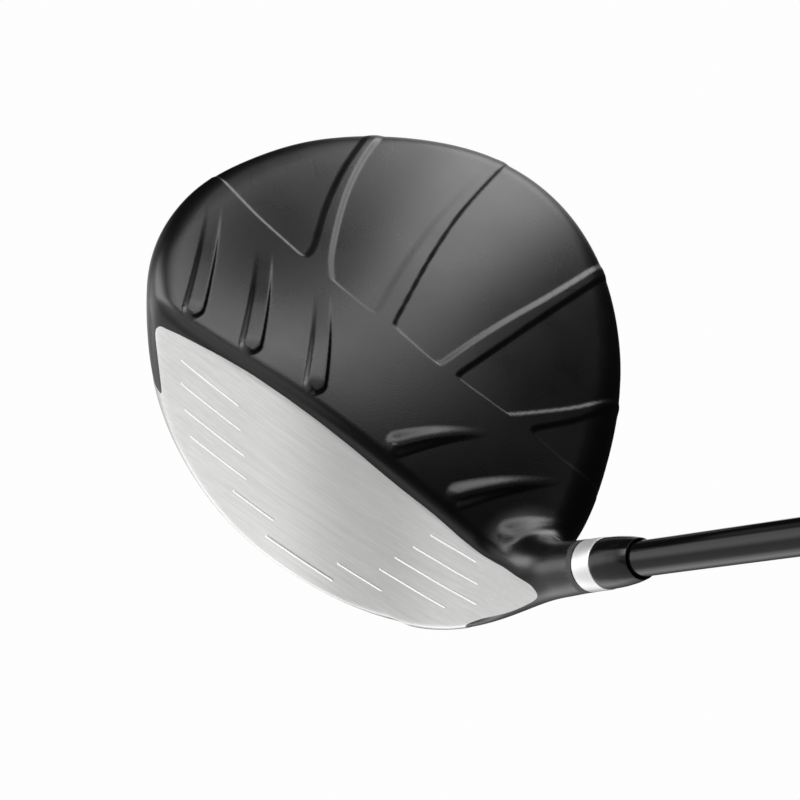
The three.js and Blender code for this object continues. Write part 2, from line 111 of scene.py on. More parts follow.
def smooth_min(a, b, width):
    return -smooth_max(-a, -b, width)


def face_y(x, z):
    dz = z - FACE_Z
    return (FACE_Y + dz * TAN_LOFT + x * x / (2 * BULGE_RADIUS)
            + dz * dz / (2 * ROLL_RADIUS))


def crown_distance(x, y, z):
    height = (CROWN_0 + CROWN_X * x + CROWN_Y * y + CROWN_XX * x * x + CROWN_XY * x * y
              + CROWN_YY * y * y + CROWN_XXY * x * x * y + CROWN_YYY * y ** 3
              + CROWN_XXXX * x ** 4)
    slope_x = (CROWN_X + 2 * CROWN_XX * x + CROWN_XY * y + 2 * CROWN_XXY * x * y
               + 4 * CROWN_XXXX * x ** 3)
    slope_y = (CROWN_Y + CROWN_XY * x + 2 * CROWN_YY * y + CROWN_XXY * x * x
               + 3 * CROWN_YYY * y * y)
    return (z - height) / np.sqrt(1 + slope_x * slope_x + slope_y * slope_y)


def sole_distance(x, y, z):
    behind = np.maximum(0, y - SOLE_REAR_FROM)
    height = (SOLE_X * x + SOLE_XX * x * x + SOLE_YY * y * y
              + SOLE_REAR * behind * behind - SOLE_SINK)
    slope_x = SOLE_X + 2 * SOLE_XX * x
    slope_y = 2 * SOLE_YY * y + 2 * SOLE_REAR * behind
    return (height - z) / np.sqrt(1 + slope_x * slope_x + slope_y * slope_y)


def outline_distance(x, y):
    dy = y - OUTLINE_Y
    angle = np.arctan2(dy, x)
    radius, slope = OUTLINE_RADIUS, 0
    for k, (a, b) in enumerate(OUTLINE_WAVES, 1):
        c, s = np.cos(k * angle), np.sin(k * angle)
        radius = radius + a * c + b * s
        slope = slope - k * a * s + k * b * c
    reach = np.sqrt(x * x + dy * dy) + 1e-9
    return (reach - radius) / np.sqrt(1 + (slope / radius) ** 2)


def neck_distance(x, y, z):
    dx, dy = x - HEEL_POINT[0], y - HEEL_POINT[1]
    along = dx * SHAFT_AXIS[0] + dy * SHAFT_AXIS[1] + z * SHAFT_AXIS[2]
    off = np.sqrt(np.maximum(dx * dx + dy * dy + z * z - along * along, 1e-9))
    side = off - NECK_RADIUS + 0.28 * fade(along, 62, 72)
    return np.maximum(np.maximum(side, along - NECK_LENGTH - 1.5), 20 - along)


def field(x, y, z):
    """About the distance to the head's plain skin, negative inside."""
    crown_blend = (CROWN_BLEND_FRONT
                   + (CROWN_BLEND_REAR - CROWN_BLEND_FRONT) * fade(y, -29.4, 7.84))
    body = smooth_max(crown_distance(x, y, z), outline_distance(x, y), crown_blend)
    body = smooth_max(body, sole_distance(x, y, z), SOLE_BLEND)
    body = smooth_max(body, -z, GROUND_BLEND)
    face = (face_y(x, z) - y) * COS_LOFT
    body = smooth_max(body, face, FACE_BLEND)
    body = smooth_min(body, neck_distance(x, y, z), NECK_BLEND)
    # keeps the striking surface true beside the neck
    keep = fade(z, 51, 43) * fade(x, 55, 47.5)
    return body + (smooth_max(body, face, TRUE_FACE_BLEND) - body) * keep


def gradient(points, step=0.02):
    slopes = np.empty_like(points)
    for k in range(3):
        shift = np.zeros(3)
        shift[k] = step
        slopes[:, k] = (field(*(points + shift).T) - field(*(points - shift).T)) / (2 * step)
    return slopes


def skin_normals(points):
    slopes = gradient(points)
    return slopes / np.linalg.norm(slopes, axis=1)[:, None]


def project(points, rounds=2):
    """Moves points on to the skin."""
    for _ in range(rounds):
        value = field(*points.T)
        slopes = gradient(points)
        squared = np.maximum((slopes * slopes).sum(1), 1e-6)
        points = points - slopes * (value / squared)[:, None]
    return points


# =====================================================================
# Triangle sheets
# =====================================================================
def surface_net(low, high, step):
    """The skin inside a box as triangles, from a grid of the given step."""
    count = [int(math.ceil((high[k] - low[k]) / step)) + 1 for k in range(3)]
    xs, ys, zs = [low[k] + step * np.arange(count[k]) for k in range(3)]
    values = np.empty(count, np.float32)
    grid_x, grid_y = np.meshgrid(xs, ys, indexing="ij")
    for k, z in enumerate(zs):
        values[:, :, k] = field(grid_x, grid_y, np.full_like(grid_x, z))
    inside = values < 0

    # one vertex in each cell that the skin passes through
    filled = np.zeros([n - 1 for n in count], np.uint8)
    for i, j, k in np.ndindex(2, 2, 2):
        filled += inside[i:count[0] - 1 + i, j:count[1] - 1 + j, k:count[2] - 1 + k]
    cells = np.nonzero((filled > 0) & (filled < 8))
    ids = -np.ones(filled.shape, np.int32)
    ids[cells] = np.arange(len(cells[0]))

    # it lies at the mean of the places where the cell's edges cross the skin
    total = np.zeros((len(cells[0]), 3))
    crossings = np.zeros(len(total))
    for start in np.ndindex(2, 2, 2):
        for axis in range(3):
            if start[axis]:
                continue
            end = list(start)
            end[axis] = 1
            a, b = [values[tuple(cells[k] + corner[k] for k in range(3))].astype(float)
                    for corner in (start, end)]
            crossed = (a < 0) != (b < 0)
            point = np.tile(np.array(start, float), (len(total), 1))
            point[:, axis] += np.where(crossed, a / np.where(crossed, a - b, 1), 0)
            total += point * crossed[:, None]
            crossings += crossed
    verts = total / crossings[:, None] + np.stack(cells, 1)
    verts = np.array(low)[None, :] + verts * step

    # one quad round each grid edge that crosses the skin
    quads = []
    for axis in range(3):
        u, v = (axis + 1) % 3, (axis + 2) % 3
        before = [slice(1, n - 1) for n in count]
        after = list(before)
        before[axis], after[axis] = slice(0, count[axis] - 1), slice(1, count[axis])
        first, second = inside[tuple(before)], inside[tuple(after)]
        found = np.nonzero(first != second)
        leaving = first[found]
        base = [found[k] + int(k != axis) for k in range(3)]
        corners = []
        for du, dv in ((-1, -1), (0, -1), (0, 0), (-1, 0)):
            cell = list(base)
            cell[u] = cell[u] + du
            cell[v] = cell[v] + dv
            corners.append(ids[tuple(cell)])
        quad = np.stack(corners, 1)
        quad[~leaving] = quad[~leaving][:, ::-1]
        quads.append(quad)
    quads = np.concatenate(quads)
    quads = quads[(quads >= 0).all(1)]
    verts = project(verts)
    return verts, to_triangles(verts, quads)


def to_triangles(verts, quads):
    """Splits each quad along its shorter diagonal."""
    a, b, c, d = [verts[quads[:, k]] for k in range(4)]
    short = (((a - c) ** 2).sum(1) <= ((b - d) ** 2).sum(1))[:, None]
    return np.concatenate([
        np.where(short, quads[:, [0, 1, 2]], quads[:, [0, 1, 3]]),
        np.where(short, quads[:, [0, 2, 3]], quads[:, [1, 2, 3]])])


def odd_corner_first(tris, odd):
    order = (odd.argmax(1)[:, None] + np.arange(3)[None, :]) % 3
    return np.take_along_axis(tris, order, 1)


def off_zero(values, least):
    return np.where(np.abs(values) < least, least, values)


def cut(verts, tris, values, region, rounds, margin):
    """Cuts triangles along region = 0, where values are the region's at the vertices.

    Returns the vertices with new ones added, each triangle's count of inside corners, the
    tips cut off, the two parts left behind each tip, and how many tips (the first) are inside.
    """
    inside = values < 0
    filled = inside[tris].sum(1)
    one, two = tris[filled == 1], tris[filled == 2]
    odd = np.concatenate([
        odd_corner_first(one, inside[one]), odd_corner_first(two, ~inside[two])])
    edges = np.concatenate([odd[:, [0, 1]], odd[:, [0, 2]]])
    low, high = edges.min(1), edges.max(1)
    _, first, places = np.unique(
        low.astype(np.int64) * len(verts) + high, return_index=True, return_inverse=True)
    low, high = low[first], high[first]
    a, b, value_a, value_b = verts[low], verts[high], values[low], values[high]
    for _ in range(rounds):
        t = np.clip(value_a / (value_a - value_b), margin, 1 - margin)
        middle = a + (b - a) * t[:, None]
        value = region(middle)
        same = (value < 0) == (value_a < 0)
        a = np.where(same[:, None], middle, a)
        value_a = np.where(same, value, value_a)
        b = np.where(same[:, None], b, middle)
        value_b = np.where(same, value_b, value)
        value_a = np.where(np.abs(value_a - value_b) < 1e-12, value_a - 1e-9, value_a)
    start, end = places[:len(odd)] + len(verts), places[len(odd):] + len(verts)
    tips = np.stack([odd[:, 0], start, end], 1)
    near = np.stack([start, odd[:, 1], odd[:, 2]], 1)
    far = np.stack([start, odd[:, 2], end], 1)
    return np.concatenate([verts, middle]), filled, tips, near, far, len(one)


def clip(verts, tris, region):
    """The part of a sheet where region < 0."""
    values = off_zero(region(verts), 1e-6)
    verts, filled, tips, near, far, n = cut(verts, tris, values, region, 6, 0.001)
    kept = np.concatenate([tris[filled == 3], tips[:n], near[n:], far[n:]])
    used, kept = np.unique(kept, return_inverse=True)
    return verts[used], kept.reshape(-1, 3)


def in_box(x, y, box):
    return (x > box[0]) & (x < box[1]) & (y > box[2]) & (y < box[3])


def split(verts, tris, region, box):
    """The same sheet with new edges laid along region = 0 within a box in x and y."""
    near_box = in_box(verts[:, 0], verts[:, 1], box)[tris].any(1)
    rest, work = tris[~near_box], tris[near_box]
    ids = np.unique(work)
    values = np.full(len(verts), 1.0)
    values[ids] = off_zero(region(verts[ids]), 1e-4)
    more, filled, tips, near, far, _ = cut(verts, work, values, region, 5, 0.002)
    if not len(tips):
        return verts, tris
    whole = work[(filled == 0) | (filled == 3)]
    return more, np.concatenate([rest, whole, tips, near, far])


def sheet_to_shell(verts, tris, normals, thickness):
    """A closed shell from a sheet: outer skin, inner skin and rim, with loop normals."""
    n = len(verts)
    edges = np.concatenate([tris[:, [0, 1]], tris[:, [1, 2]], tris[:, [2, 0]]])
    a, b = edges[:, 0].astype(np.int64), edges[:, 1].astype(np.int64)
    border = edges[~np.isin(a * n + b, b * n + a)]
    a, b = border[:, 0], border[:, 1]
    both = np.concatenate([verts, verts - normals * thickness])
    rim = np.concatenate([np.stack([b, a, a + n], 1), np.stack([b, a + n, b + n], 1)])
    faces = np.concatenate([tris, tris[:, ::-1] + n, rim])
    flat = np.cross(both[rim[:, 1]] - both[rim[:, 0]], both[rim[:, 2]] - both[rim[:, 0]])
    flat /= np.linalg.norm(flat, axis=1)[:, None] + 1e-12
    loops = np.concatenate([
        normals[tris], -normals[tris[:, ::-1]], np.repeat(flat[:, None, :], 3, 1)])
    return both, faces, loops.reshape(-1, 3)


# =====================================================================
# Outlines and profiles
# =====================================================================
def corner_arc(start, corner, end, steps):
    return [tuple((1 - t) ** 2 * start + 2 * t * (1 - t) * corner + t * t * end)
            for t in (k / steps for k in range(steps + 1))]


def rounded(outline, reach):
    """A closed outline with its corners eased by short arcs."""
    points = [np.array(point, float) for point in outline]
    arcs = []
    for i, corner in enumerate(points):
        sides = [points[i - 1] - corner, points[(i + 1) % len(points)] - corner]
        start, end = [corner + side * min(reach / np.linalg.norm(side), 0.45)
                      for side in sides]
        arcs += corner_arc(start, corner, end, 3)
    return arcs


def round_profile(profile, radii, steps=4):
    """A profile with its corners rounded, one radius to a point."""
    points = []
    for i, (corner, radius) in enumerate(zip(profile, radii)):
        if radius <= 0:
            points.append(corner)
            continue
        corner = np.array(corner, float)
        sides = [np.array(profile[i - 1], float) - corner,
                 np.array(profile[(i + 1) % len(profile)], float) - corner]
        lengths = [np.linalg.norm(side) for side in sides]
        reach = min(radius, lengths[0] * 0.45, lengths[1] * 0.45)
        start, end = [corner + side / length * reach for side, length in zip(sides, lengths)]
        points += corner_arc(start, corner, end, steps)
    return points


def outline_near(x, y, outline):
    """Distance to a closed outline, negative inside, and the x part of the outward direction."""
    points = np.array(outline, float)
    least = np.full(x.shape, 1e18)
    offset_x = np.zeros(x.shape)
    inside = np.zeros(x.shape, bool)
    for (ax, ay), (bx, by) in zip(points, np.roll(points, -1, axis=0)):
        ex, ey = bx - ax, by - ay
        wx, wy = x - ax, y - ay
        t = np.clip((wx * ex + wy * ey) / (ex * ex + ey * ey + 1e-12), 0, 1)
        squared = (wx - ex * t) ** 2 + (wy - ey * t) ** 2
        nearer = squared < least
        least = np.where(nearer, squared, least)
        offset_x = np.where(nearer, wx - ex * t, offset_x)
        spans = (ay > y) != (by > y)
        inside ^= spans & (x < ax + (y - ay) * ex / (ey if abs(ey) > 1e-12 else 1e-12))
    distance = np.sqrt(least)
    signed = np.where(inside, -distance, distance)
    clear = distance > 1e-6
    return signed, np.where(clear, offset_x / np.where(clear, signed, 1), 0)


# =====================================================================
# Crown relief: recessed panels between ribs, and six low ridges
# =====================================================================
# depth; share of it lost at the heel side; widths of the sloping sides at the front, toe
# side and heel side; outline in x and y
Panel = namedtuple("Panel", "depth heel_loss front_side toe_side heel_side outline")
PANELS = [
    Panel(0.25, 0.0, 1.2, 1.5, 2.0, [
        (-75, 23), (-64.4, 18.8), (-55.4, 15.6), (-48.6, 13.2), (-40.1, 10.9), (-34.0, 9.2),
        (-33.2, 10.2), (-33.3, 13.1), (-35.2, 18.6), (-37.6, 25.4), (-39.5, 32.9),
        (-41.2, 42.0), (-42.1, 50.6), (-42.6, 56.1), (-43.4, 66), (-60, 90), (-90, 60)]),
    Panel(0.34, 0.7, 1.15, 1.8, 2.6, [
        (-25.2, 8.3), (-24.3, 7.4), (-18.0, 6.3), (-11.9, 5.5), (-11.0, 6.4), (-11.2, 8.4),
        (-12.4, 15.3), (-13.9, 29.6), (-14.5, 43.1), (-14.3, 56.5), (-13.9, 72.6),
        (-13.4, 100), (-45, 100), (-41.5, 70), (-39.9, 59), (-39.6, 51.0), (-38.2, 42.1),
        (-36.0, 32.8), (-33.2, 24.6), (-30.2, 17.0), (-27.8, 12.0)]),
    Panel(0.34, 0.0, 1.15, 1.6, 1.9, [
        (-6.2, 6.4), (-5.3, 5.7), (1.2, 4.8), (7.8, 4.3), (8.7, 5.2), (11.2, 16.6),
        (14.3, 28.8), (17.6, 41.1), (20.5, 54.7), (22.6, 66.6), (25.5, 90), (-11, 100),
        (-11.6, 73.5), (-11.7, 63.7), (-11.6, 55.7), (-11.4, 46.4), (-10.4, 35.5),
        (-9.1, 24.7), (-7.2, 13.2)]),
    Panel(0.34, 0.0, 1.15, 1.8, 1.7, [
        (13.3, 5.6), (14.1, 4.9), (28.0, 6.3), (29.0, 7.1), (34.3, 14.0), (40.0, 22.2),
        (45.2, 32.4), (51, 45), (62, 75), (30, 95), (25.0, 63.0), (22.9, 50.6),
        (20.2, 36.8), (17.5, 23.4), (14.7, 11.2)]),
    Panel(0.30, 0.0, 1.5, 1.8, 1.6, [
        (34.8, 8.1), (35.6, 7.2), (42, 7.2), (49.8, 7.9), (54, 9.2), (80, 18), (80, 66),
        (60, 60), (52.5, 46), (47.1, 32.4), (41.9, 19.3), (38, 13.0)]),
]
PANELS = [panel._replace(outline=np.array(rounded(panel.outline, 5.0))) for panel in PANELS]

# front point, tail point, half widths (across x) at the front and the tail, height
Ridge = namedtuple("Ridge", "front tail front_width tail_width height")
RIDGES = [
    Ridge((-45.6, -21.4), (-60.6, 12.0), 2.9, 2.0, 0.72),
    Ridge((-28.9, -22.2), (-43.6, 7.5), 3.0, 2.1, 0.78),
    Ridge((-10.6, -22.3), (-25.6, 4.5), 3.1, 2.1, 0.78),
    Ridge((10.3, -22.4), (28.6, -0.2), 3.5, 0.9, 0.98),
    Ridge((28.8, -22.4), (48.8, 3.6), 3.4, 0.9, 0.98),
    Ridge((43.6, -21.0), (57.0, -3.0), 3.6, 0.9, 0.55),
]
RIDGE_LEAD = 0.08                 # share of the flank that lies outside the outline
SLOPE_LEVELS = (0.0, 0.5, 1.0)    # foot, middle and top of a sloping side
RIM_LEFT = 0.75                   # share of a panel's depth left at the crown's rim
TRIM_DIR = np.array((-0.356, -0.815, -0.458))    # normals near this one are drawn in


def panel_level(panel, x, y):
    """0 outside a panel's edge, 1 on its floor (unclamped)."""
    signed, normal_x = outline_near(x, y, panel.outline)
    side = np.where(normal_x < 0, panel.toe_side, panel.heel_side)
    width = (panel.front_side
             + (side - panel.front_side) * fade(np.abs(normal_x), 0.40, 0.80))
    return -signed / width + np.minimum(0.5, 1.25 / width)


def panel_box(panel):
    low, high = panel.outline.min(0) - 2, panel.outline.max(0) + 2
    return low[0], high[0], low[1], high[1]


def ridge_box(ridge, past_tail):
    (fx, fy), (tx, ty) = ridge.front, ridge.tail
    return min(fx, tx) - 6, max(fx, tx) + 6, fy - 3, ty + past_tail


def ridge_parts(ridge, x, y):
    """Place along a ridge (0 front, 1 tail), the same clamped, depth inside its outline,
    width of its flank there, and length from its front."""
    (fx, fy), (tx, ty) = ridge.front, ridge.tail
    length = math.hypot(tx - fx, ty - fy)
    ax, ay = (tx - fx) / length, (ty - fy) / length
    along = (x - fx) * ax + (y - fy) * ay
    across = (x - fx) * ay - (y - fy) * ax
    place = along / length
    clamped = np.clip(place, 0, 1)
    start_width = ridge.front_width
    half_width = start_width + (ridge.tail_width - start_width) * clamped ** 1.3
    # a slight bow, less on the toe side
    across = across + 0.9 * np.sin(math.pi * clamped) * (1 if fx > 0 else -0.6)
    off = np.where(along < start_width, np.hypot(across, along - start_width),
                   np.abs(across))
    # widths of the toe-ward and heel-ward flanks as shares of the half width
    toe_share, heel_share = (0.60, 0.38) if fx < 0 else (1.05, 0.9)
    flank = half_width * np.where(across < 0, toe_share, heel_share)
    front_pull = fade(along, start_width, start_width - 3) * np.where(across < 0, 1.0, 0.45)
    flank = flank + (2.4 - flank) * front_pull
    return place, clamped, half_width - off, np.maximum(flank, 0.5), along


def relief(x, y):
    """Depth of the panels (negative) and height of the ridges over the smooth skin."""
    depth = np.zeros_like(x)
    for panel in PANELS:
        m = in_box(x, y, panel_box(panel))
        deep = panel.depth * (1 - panel.heel_loss * fade(x[m], -35, -15))
        depth[m] -= deep * smooth(panel_level(panel, x[m], y[m]))
    height = np.zeros_like(x)
    for ridge in RIDGES:
        m = in_box(x, y, ridge_box(ridge, past_tail=4))
        place, clamped, inner, flank, along = ridge_parts(ridge, x[m], y[m])
        height[m] += (ridge.height * smooth(inner / flank + RIDGE_LEAD)
                      * (1 - clamped) ** 0.7 * fade(place, 1, 0.4)
                      * (0.6 + 0.4 * fade(along, 0, 5)))
    return depth, height


def crease(verts, tris):
    """Lays edges of the sheet along every step of the relief, so that the steps are clean."""
    for panel in PANELS:
        for level in SLOPE_LEVELS:
            verts, tris = split(
                verts, tris, lambda p: level - panel_level(panel, p[:, 0], p[:, 1]),
                panel_box(panel))
    for ridge in RIDGES:
        for level in SLOPE_LEVELS:
            def flank_line(points):
                inner, flank = ridge_parts(ridge, points[:, 0], points[:, 1])[2:4]
                return (level - RIDGE_LEAD) * flank - inner
            verts, tris = split(verts, tris, flank_line, ridge_box(ridge, past_tail=1))
    return verts, tris


def swell(verts, normals):
    """Small, slow differences from the plain form: at the rear rim, the heel and low down."""
    x, y, z = verts.T
    angle = np.degrees(np.arctan2(x, y - 10.0))    # 0 = rear, + = heel side
    rear = (0.85 * fade(y, 6, 42) * fade(angle, -78, -52)
            * (0.12 + 0.88 * fade(angle, 18, -18)) * fade(angle, 75, 45))
    heel = 0.30 * fade(x, 40, 54) * fade(y, -12, 2)
    low = -0.42 * fade(normals @ TRIM_DIR, 0.60, 0.94) * fade(z, 26, 10)
    return np.maximum(rear, heel) * fade(normals[:, 2], -0.45, 0.05) + low


def raised(verts):
    """Points of the smooth skin moved out to the swell and relief, and their normals."""
    normals = skin_normals(verts)
    x, y, z = verts.T
    up = normals[:, 2]
    on_crown = fade(z, 30, 35) * fade(up, -0.1, 0.15)
    rim = RIM_LEFT + (1 - RIM_LEFT) * fade(up, 0.15, 0.95)
    step = 0.12

    def height(x, y):
        depth, ridge = relief(x, y)
        return (depth * rim + ridge) * on_crown

    rise = height(x, y) + swell(verts, normals)
    slope_x = (height(x + step, y) - height(x - step, y)) / (2 * step)
    slope_y = (height(x, y + step) - height(x, y - step)) / (2 * step)
    tilt = np.stack([slope_x, slope_y, 0 * slope_x], 1)
    tilt = tilt - normals * (tilt * normals).sum(1)[:, None]
    tilted = normals - tilt
    tilted /= np.linalg.norm(tilted, axis=1)[:, None]
    return verts + normals * rise[:, None], tilted


# =====================================================================
# Regions of the skin, each negative inside
# =====================================================================
# border of the bare metal, in x and z, seen from the front
FACE_EDGE = rounded([
    (-51.9, 44.7), (-52.1, 46.4), (-51.4, 48.0), (-49.6, 48.8), (-45.4, 50.5), (-35.8, 53.0),
    (-26.1, 54.7), (-16.1, 55.4), (-5.9, 55.4), (4.5, 54.5), (15.0, 52.7), (27.3, 50.7),
    (32.4, 49.4), (37.6, 47.9), (42.5, 47.0), (47.4, 47.4), (51.1, 48.7), (54.7, 50.1),
    (57.2, 50.6), (58.8, 49.8), (59.6, 48.4), (59.5, 46.4), (58.7, 43.7), (56.6, 38.5),
    (53.8, 33.7), (51.0, 29.4), (48.1, 24.4), (47.4, 22.0), (54.0, 16.0), (54, -12),
    (-62, -12), (-62, 27.5), (-45.0, 29.9), (-43.6, 29.9), (-45.8, 34.3), (-49.5, 40.8),
], 3.2)
BARE_LOW_Z, BARE_LOW_BACK, BARE_BACK = 20, -27.5, -12    # the metal stops sooner below this z
SEAM_Z, SEAM_SLOPE = 33.0, 0.02                          # crown seam
SEAM_NECK_RADIUS = 12.0                                  # kept out of the crown


def along_and_off(points, origin, axis):
    """Distances along an axis and away from it."""
    offset = points - origin
    along = offset @ axis
    return along, np.sqrt(np.maximum((offset * offset).sum(1) - along * along, 0))


def metal_region(points):
    x, y, z = points.T
    edge = outline_near(x, z, FACE_EDGE)[0]
    edge = np.where(z < BARE_LOW_Z, np.maximum(edge, y - BARE_LOW_BACK), edge)
    return np.maximum(edge, y - BARE_BACK)


def crown_region(points):
    seam = SEAM_Z + SEAM_SLOPE * points[:, 0] - points[:, 2]
    along, off = along_and_off(points, HEEL_POINT, SHAFT_AXIS)
    return np.maximum(seam, np.where(along > 20, SEAM_NECK_RADIUS - off, -1))


def port_region(points):
    """The skin without the weight's hole, the screw's hole and the neck's open top."""
    along, off = along_and_off(points, WEIGHT_POINT, WEIGHT_AXIS)
    weight = np.where(np.abs(along) < 12, WEIGHT_HOLE_RADIUS - off, -1)
    along, off = along_and_off(points, HEEL_POINT, SHAFT_AXIS)
    bore = np.where(along < 17, SCREW_HOLE_RADIUS - off, np.where(along > 60, 5.3 - off, -1))
    top = np.where((along > 60) & (off < 10), along - NECK_TOP, -1)
    return np.maximum(np.maximum(weight, bore), top)


# =====================================================================
# Materials: all procedural
# =====================================================================
class Tree:
    """The node tree of a material or world, with short ways to add to it."""

    def __init__(self, owner):
        owner.use_nodes = True
        self.owner = owner
        self.tree = owner.node_tree
        self.bsdf = self.tree.nodes.get("Principled BSDF")

    def add(self, kind, **settings):
        node = self.tree.nodes.new(kind)
        for name, value in settings.items():
            setattr(node, name, value)
        return node

    def feed(self, node, *by_place, **by_name):
        """Gives inputs, by place or by name, a value or a link."""
        pairs = list(zip(node.inputs, by_place))
        pairs += [(node.inputs[name.replace("_", " ")], v) for name, v in by_name.items()]
        for socket, value in pairs:
            if isinstance(value, bpy.types.NodeSocket):
                self.tree.links.new(value, socket)
            else:
                socket.default_value = value
        return node

    def position(self):
        return self.add("ShaderNodeTexCoord").outputs["Object"]

    def coords(self, scale=(1, 1, 1)):
        mapping = self.add("ShaderNodeMapping")
        return self.feed(mapping, Vector=self.position(), Scale=scale).outputs["Vector"]

    def noise(self, vector, scale, detail=2.0, roughness=0.5):
        node = self.add("ShaderNodeTexNoise")
        self.feed(node, Vector=vector, Scale=scale, Detail=detail, Roughness=roughness)
        return node.outputs["Fac"]

    def remap(self, value, source, target, interpolation="LINEAR"):
        """Maps the source range on to the target range."""
        node = self.add("ShaderNodeMapRange", interpolation_type=interpolation)
        self.feed(node, Value=value, From_Min=source[0], From_Max=source[1],
                  To_Min=target[0], To_Max=target[1])
        return node.outputs["Result"]

    def math(self, operation, *values):
        node = self.add("ShaderNodeMath", operation=operation)
        return self.feed(node, *values).outputs[0]

    def vector_math(self, operation, *values, **named):
        node = self.add("ShaderNodeVectorMath", operation=operation)
        return self.feed(node, *values, **named).outputs

    def mix(self, factor, first, second):
        node = self.add("ShaderNodeMix", data_type="RGBA")
        self.tree.links.new(factor, node.inputs[0])
        node.inputs[6].default_value = (*first, 1)
        node.inputs[7].default_value = (*second, 1)
        return node.outputs[2]

    def surface(self, **inputs):
        self.feed(self.bsdf, **inputs)

    def bump(self, height, strength, distance):
        node = self.add("ShaderNodeBump")
        self.feed(node, Height=height, Strength=strength, Distance=distance)
        self.surface(Normal=node.outputs["Normal"])


MID_NOISE = (0.3, 0.7)    # the part of a noise's range that most of it fills


def new_material(name):
    return Tree(bpy.data.materials.new(name))


def scaled(colour, factor):
    return [c * factor for c in colour]


def paint(name, colour, roughness, specular, speckle, grain):
    """Satin paint, finely speckled and grained."""
    t = new_material(name)
    coords = t.coords()
    fine = t.noise(coords, scale=2600, roughness=0.6)
    cloud = t.noise(coords, scale=90, detail=3.0)
    t.surface(
        Base_Color=t.mix(t.remap(fine, (0.35, 0.65), (0, 1)),
                         scaled(colour, 1 - speckle * 0.5), scaled(colour, 1 + speckle)),
        Roughness=t.remap(cloud, MID_NOISE, (roughness - 0.02, roughness + 0.02)),
        Specular_IOR_Level=specular)
    t.bump(fine, strength=0.085 * grain, distance=0.00016)
    return t.owner


def turned_metal(name, grey, roughness, origin, axis, line_scale, metallic=1.0):
    """Bare metal with lathe marks round its own axis."""
    t = new_material(name)
    offset = t.vector_math("SUBTRACT", t.position(), [float(c) * MM for c in origin])[0]
    direction = [float(c) for c in axis]
    along = t.vector_math("DOT_PRODUCT", offset, direction)["Value"]
    off = t.vector_math("LENGTH", t.vector_math("CROSS_PRODUCT", offset, direction)[0])
    turned_coords = t.feed(t.add("ShaderNodeCombineXYZ"), along, off["Value"]).outputs[0]
    lines = t.noise(turned_coords, scale=line_scale, roughness=0.6)
    cloud = t.noise(t.coords(), scale=160, detail=3.0)
    t.surface(
        Base_Color=t.mix(t.remap(lines, MID_NOISE, (0, 1)),
                         scaled(grey, 0.9), scaled(grey, 1.06)),
        Metallic=metallic,
        Roughness=t.remap(cloud, MID_NOISE, (roughness - 0.04, roughness + 0.05)))
    t.bump(lines, strength=0.25, distance=0.00003)
    return t.owner


def face_metal(name):
    """Satin metal brushed heel to toe, with a painted dark reflection in a slanted band on the
    heel side and painted shade towards the heel.
    """
    t = new_material(name)
    fine = t.noise(t.coords((150, 4200, 4200)), scale=1.0, detail=3.0, roughness=0.6)
    coarse = t.noise(t.coords((42, 1300, 1300)), scale=1.0, roughness=0.55)
    cloud = t.noise(t.coords(), scale=26, detail=3.0, roughness=0.55)
    brush = t.remap(t.math("ADD", fine, coarse), (0.7, 1.3), (0, 1))
    colour = t.mix(brush, (0.615, 0.615, 0.61), (0.725, 0.725, 0.72))
    place = t.feed(t.add("ShaderNodeSeparateXYZ"), t.position()).outputs
    # painted dark reflection: a band darkest at its middle, which runs where x + 0.38 z = 0.0274
    # m
    slanted = t.math("MULTIPLY_ADD", place[2], 0.38, place[0])
    offset = t.math("SUBTRACT", slanted, 0.0274)
    painted_reflection_band = t.remap(t.math("ABSOLUTE", offset), (0.002, 0.029), (0.70, 1.0), "SMOOTHSTEP")
    # painted shade: up to 10% darker on the heel side of the band's middle; the cloud below is
    # random tone
    heel = t.remap(offset, (0.0, 0.014), (1.0, 0.90), "SMOOTHSTEP")
    painted_shade_and_tone = t.math("MULTIPLY", t.math("MULTIPLY", painted_reflection_band, heel),
                   t.remap(cloud, (0.35, 0.65), (0.97, 1.02)))
    t.surface(
        Base_Color=t.vector_math("SCALE", colour, Scale=painted_shade_and_tone)[0],
        Metallic=1.0,
        Roughness=t.remap(fine, MID_NOISE, (0.30, 0.42)),
        Anisotropic=0.3)
    t.bump(fine, strength=0.30, distance=0.00003)
    return t.owner


def line_fill(name):
    """Bright white, slightly pearly, finely grained."""
    t = new_material(name)
    grain = t.noise(t.coords(), scale=3000, roughness=0.6)
    t.surface(
        Base_Color=t.mix(grain, (0.93, 0.93, 0.93), (1.0, 1.0, 1.0)),
        Metallic=0.85,
        Roughness=t.remap(grain, MID_NOISE, (0.38, 0.48)))
    t.bump(grain, strength=0.05, distance=0.00003)
    return t.owner


def gloss(name, colour, roughness, specular):
    t = new_material(name)
    coords = t.coords()
    cloud = t.noise(coords, scale=60, detail=3.0)
    fine = t.noise(coords, scale=1500)
    t.surface(
        Base_Color=t.mix(fine, scaled(colour, 0.85), scaled(colour, 1.2)),
        Roughness=t.remap(cloud, MID_NOISE, (roughness - 0.015, roughness + 0.025)),
        Specular_IOR_Level=specular,
        Coat_Roughness=0.06)
    t.bump(cloud, strength=0.03, distance=0.0002)
    return t.owner


def matte(name, colour, roughness):
    """Dull, slightly cloudy material: rubber, paper or nylon."""
    t = new_material(name)
    coords = t.coords()
    fine = t.noise(coords, scale=1800, detail=3.0, roughness=0.6)
    cloud = t.noise(coords, scale=140, detail=3.0)
    t.surface(
        Base_Color=t.mix(cloud, scaled(colour, 0.8), scaled(colour, 1.25)),
        Roughness=t.remap(fine, MID_NOISE, (roughness - 0.08, roughness + 0.08)))
    t.bump(fine, strength=0.25, distance=0.00015)
    return t.owner


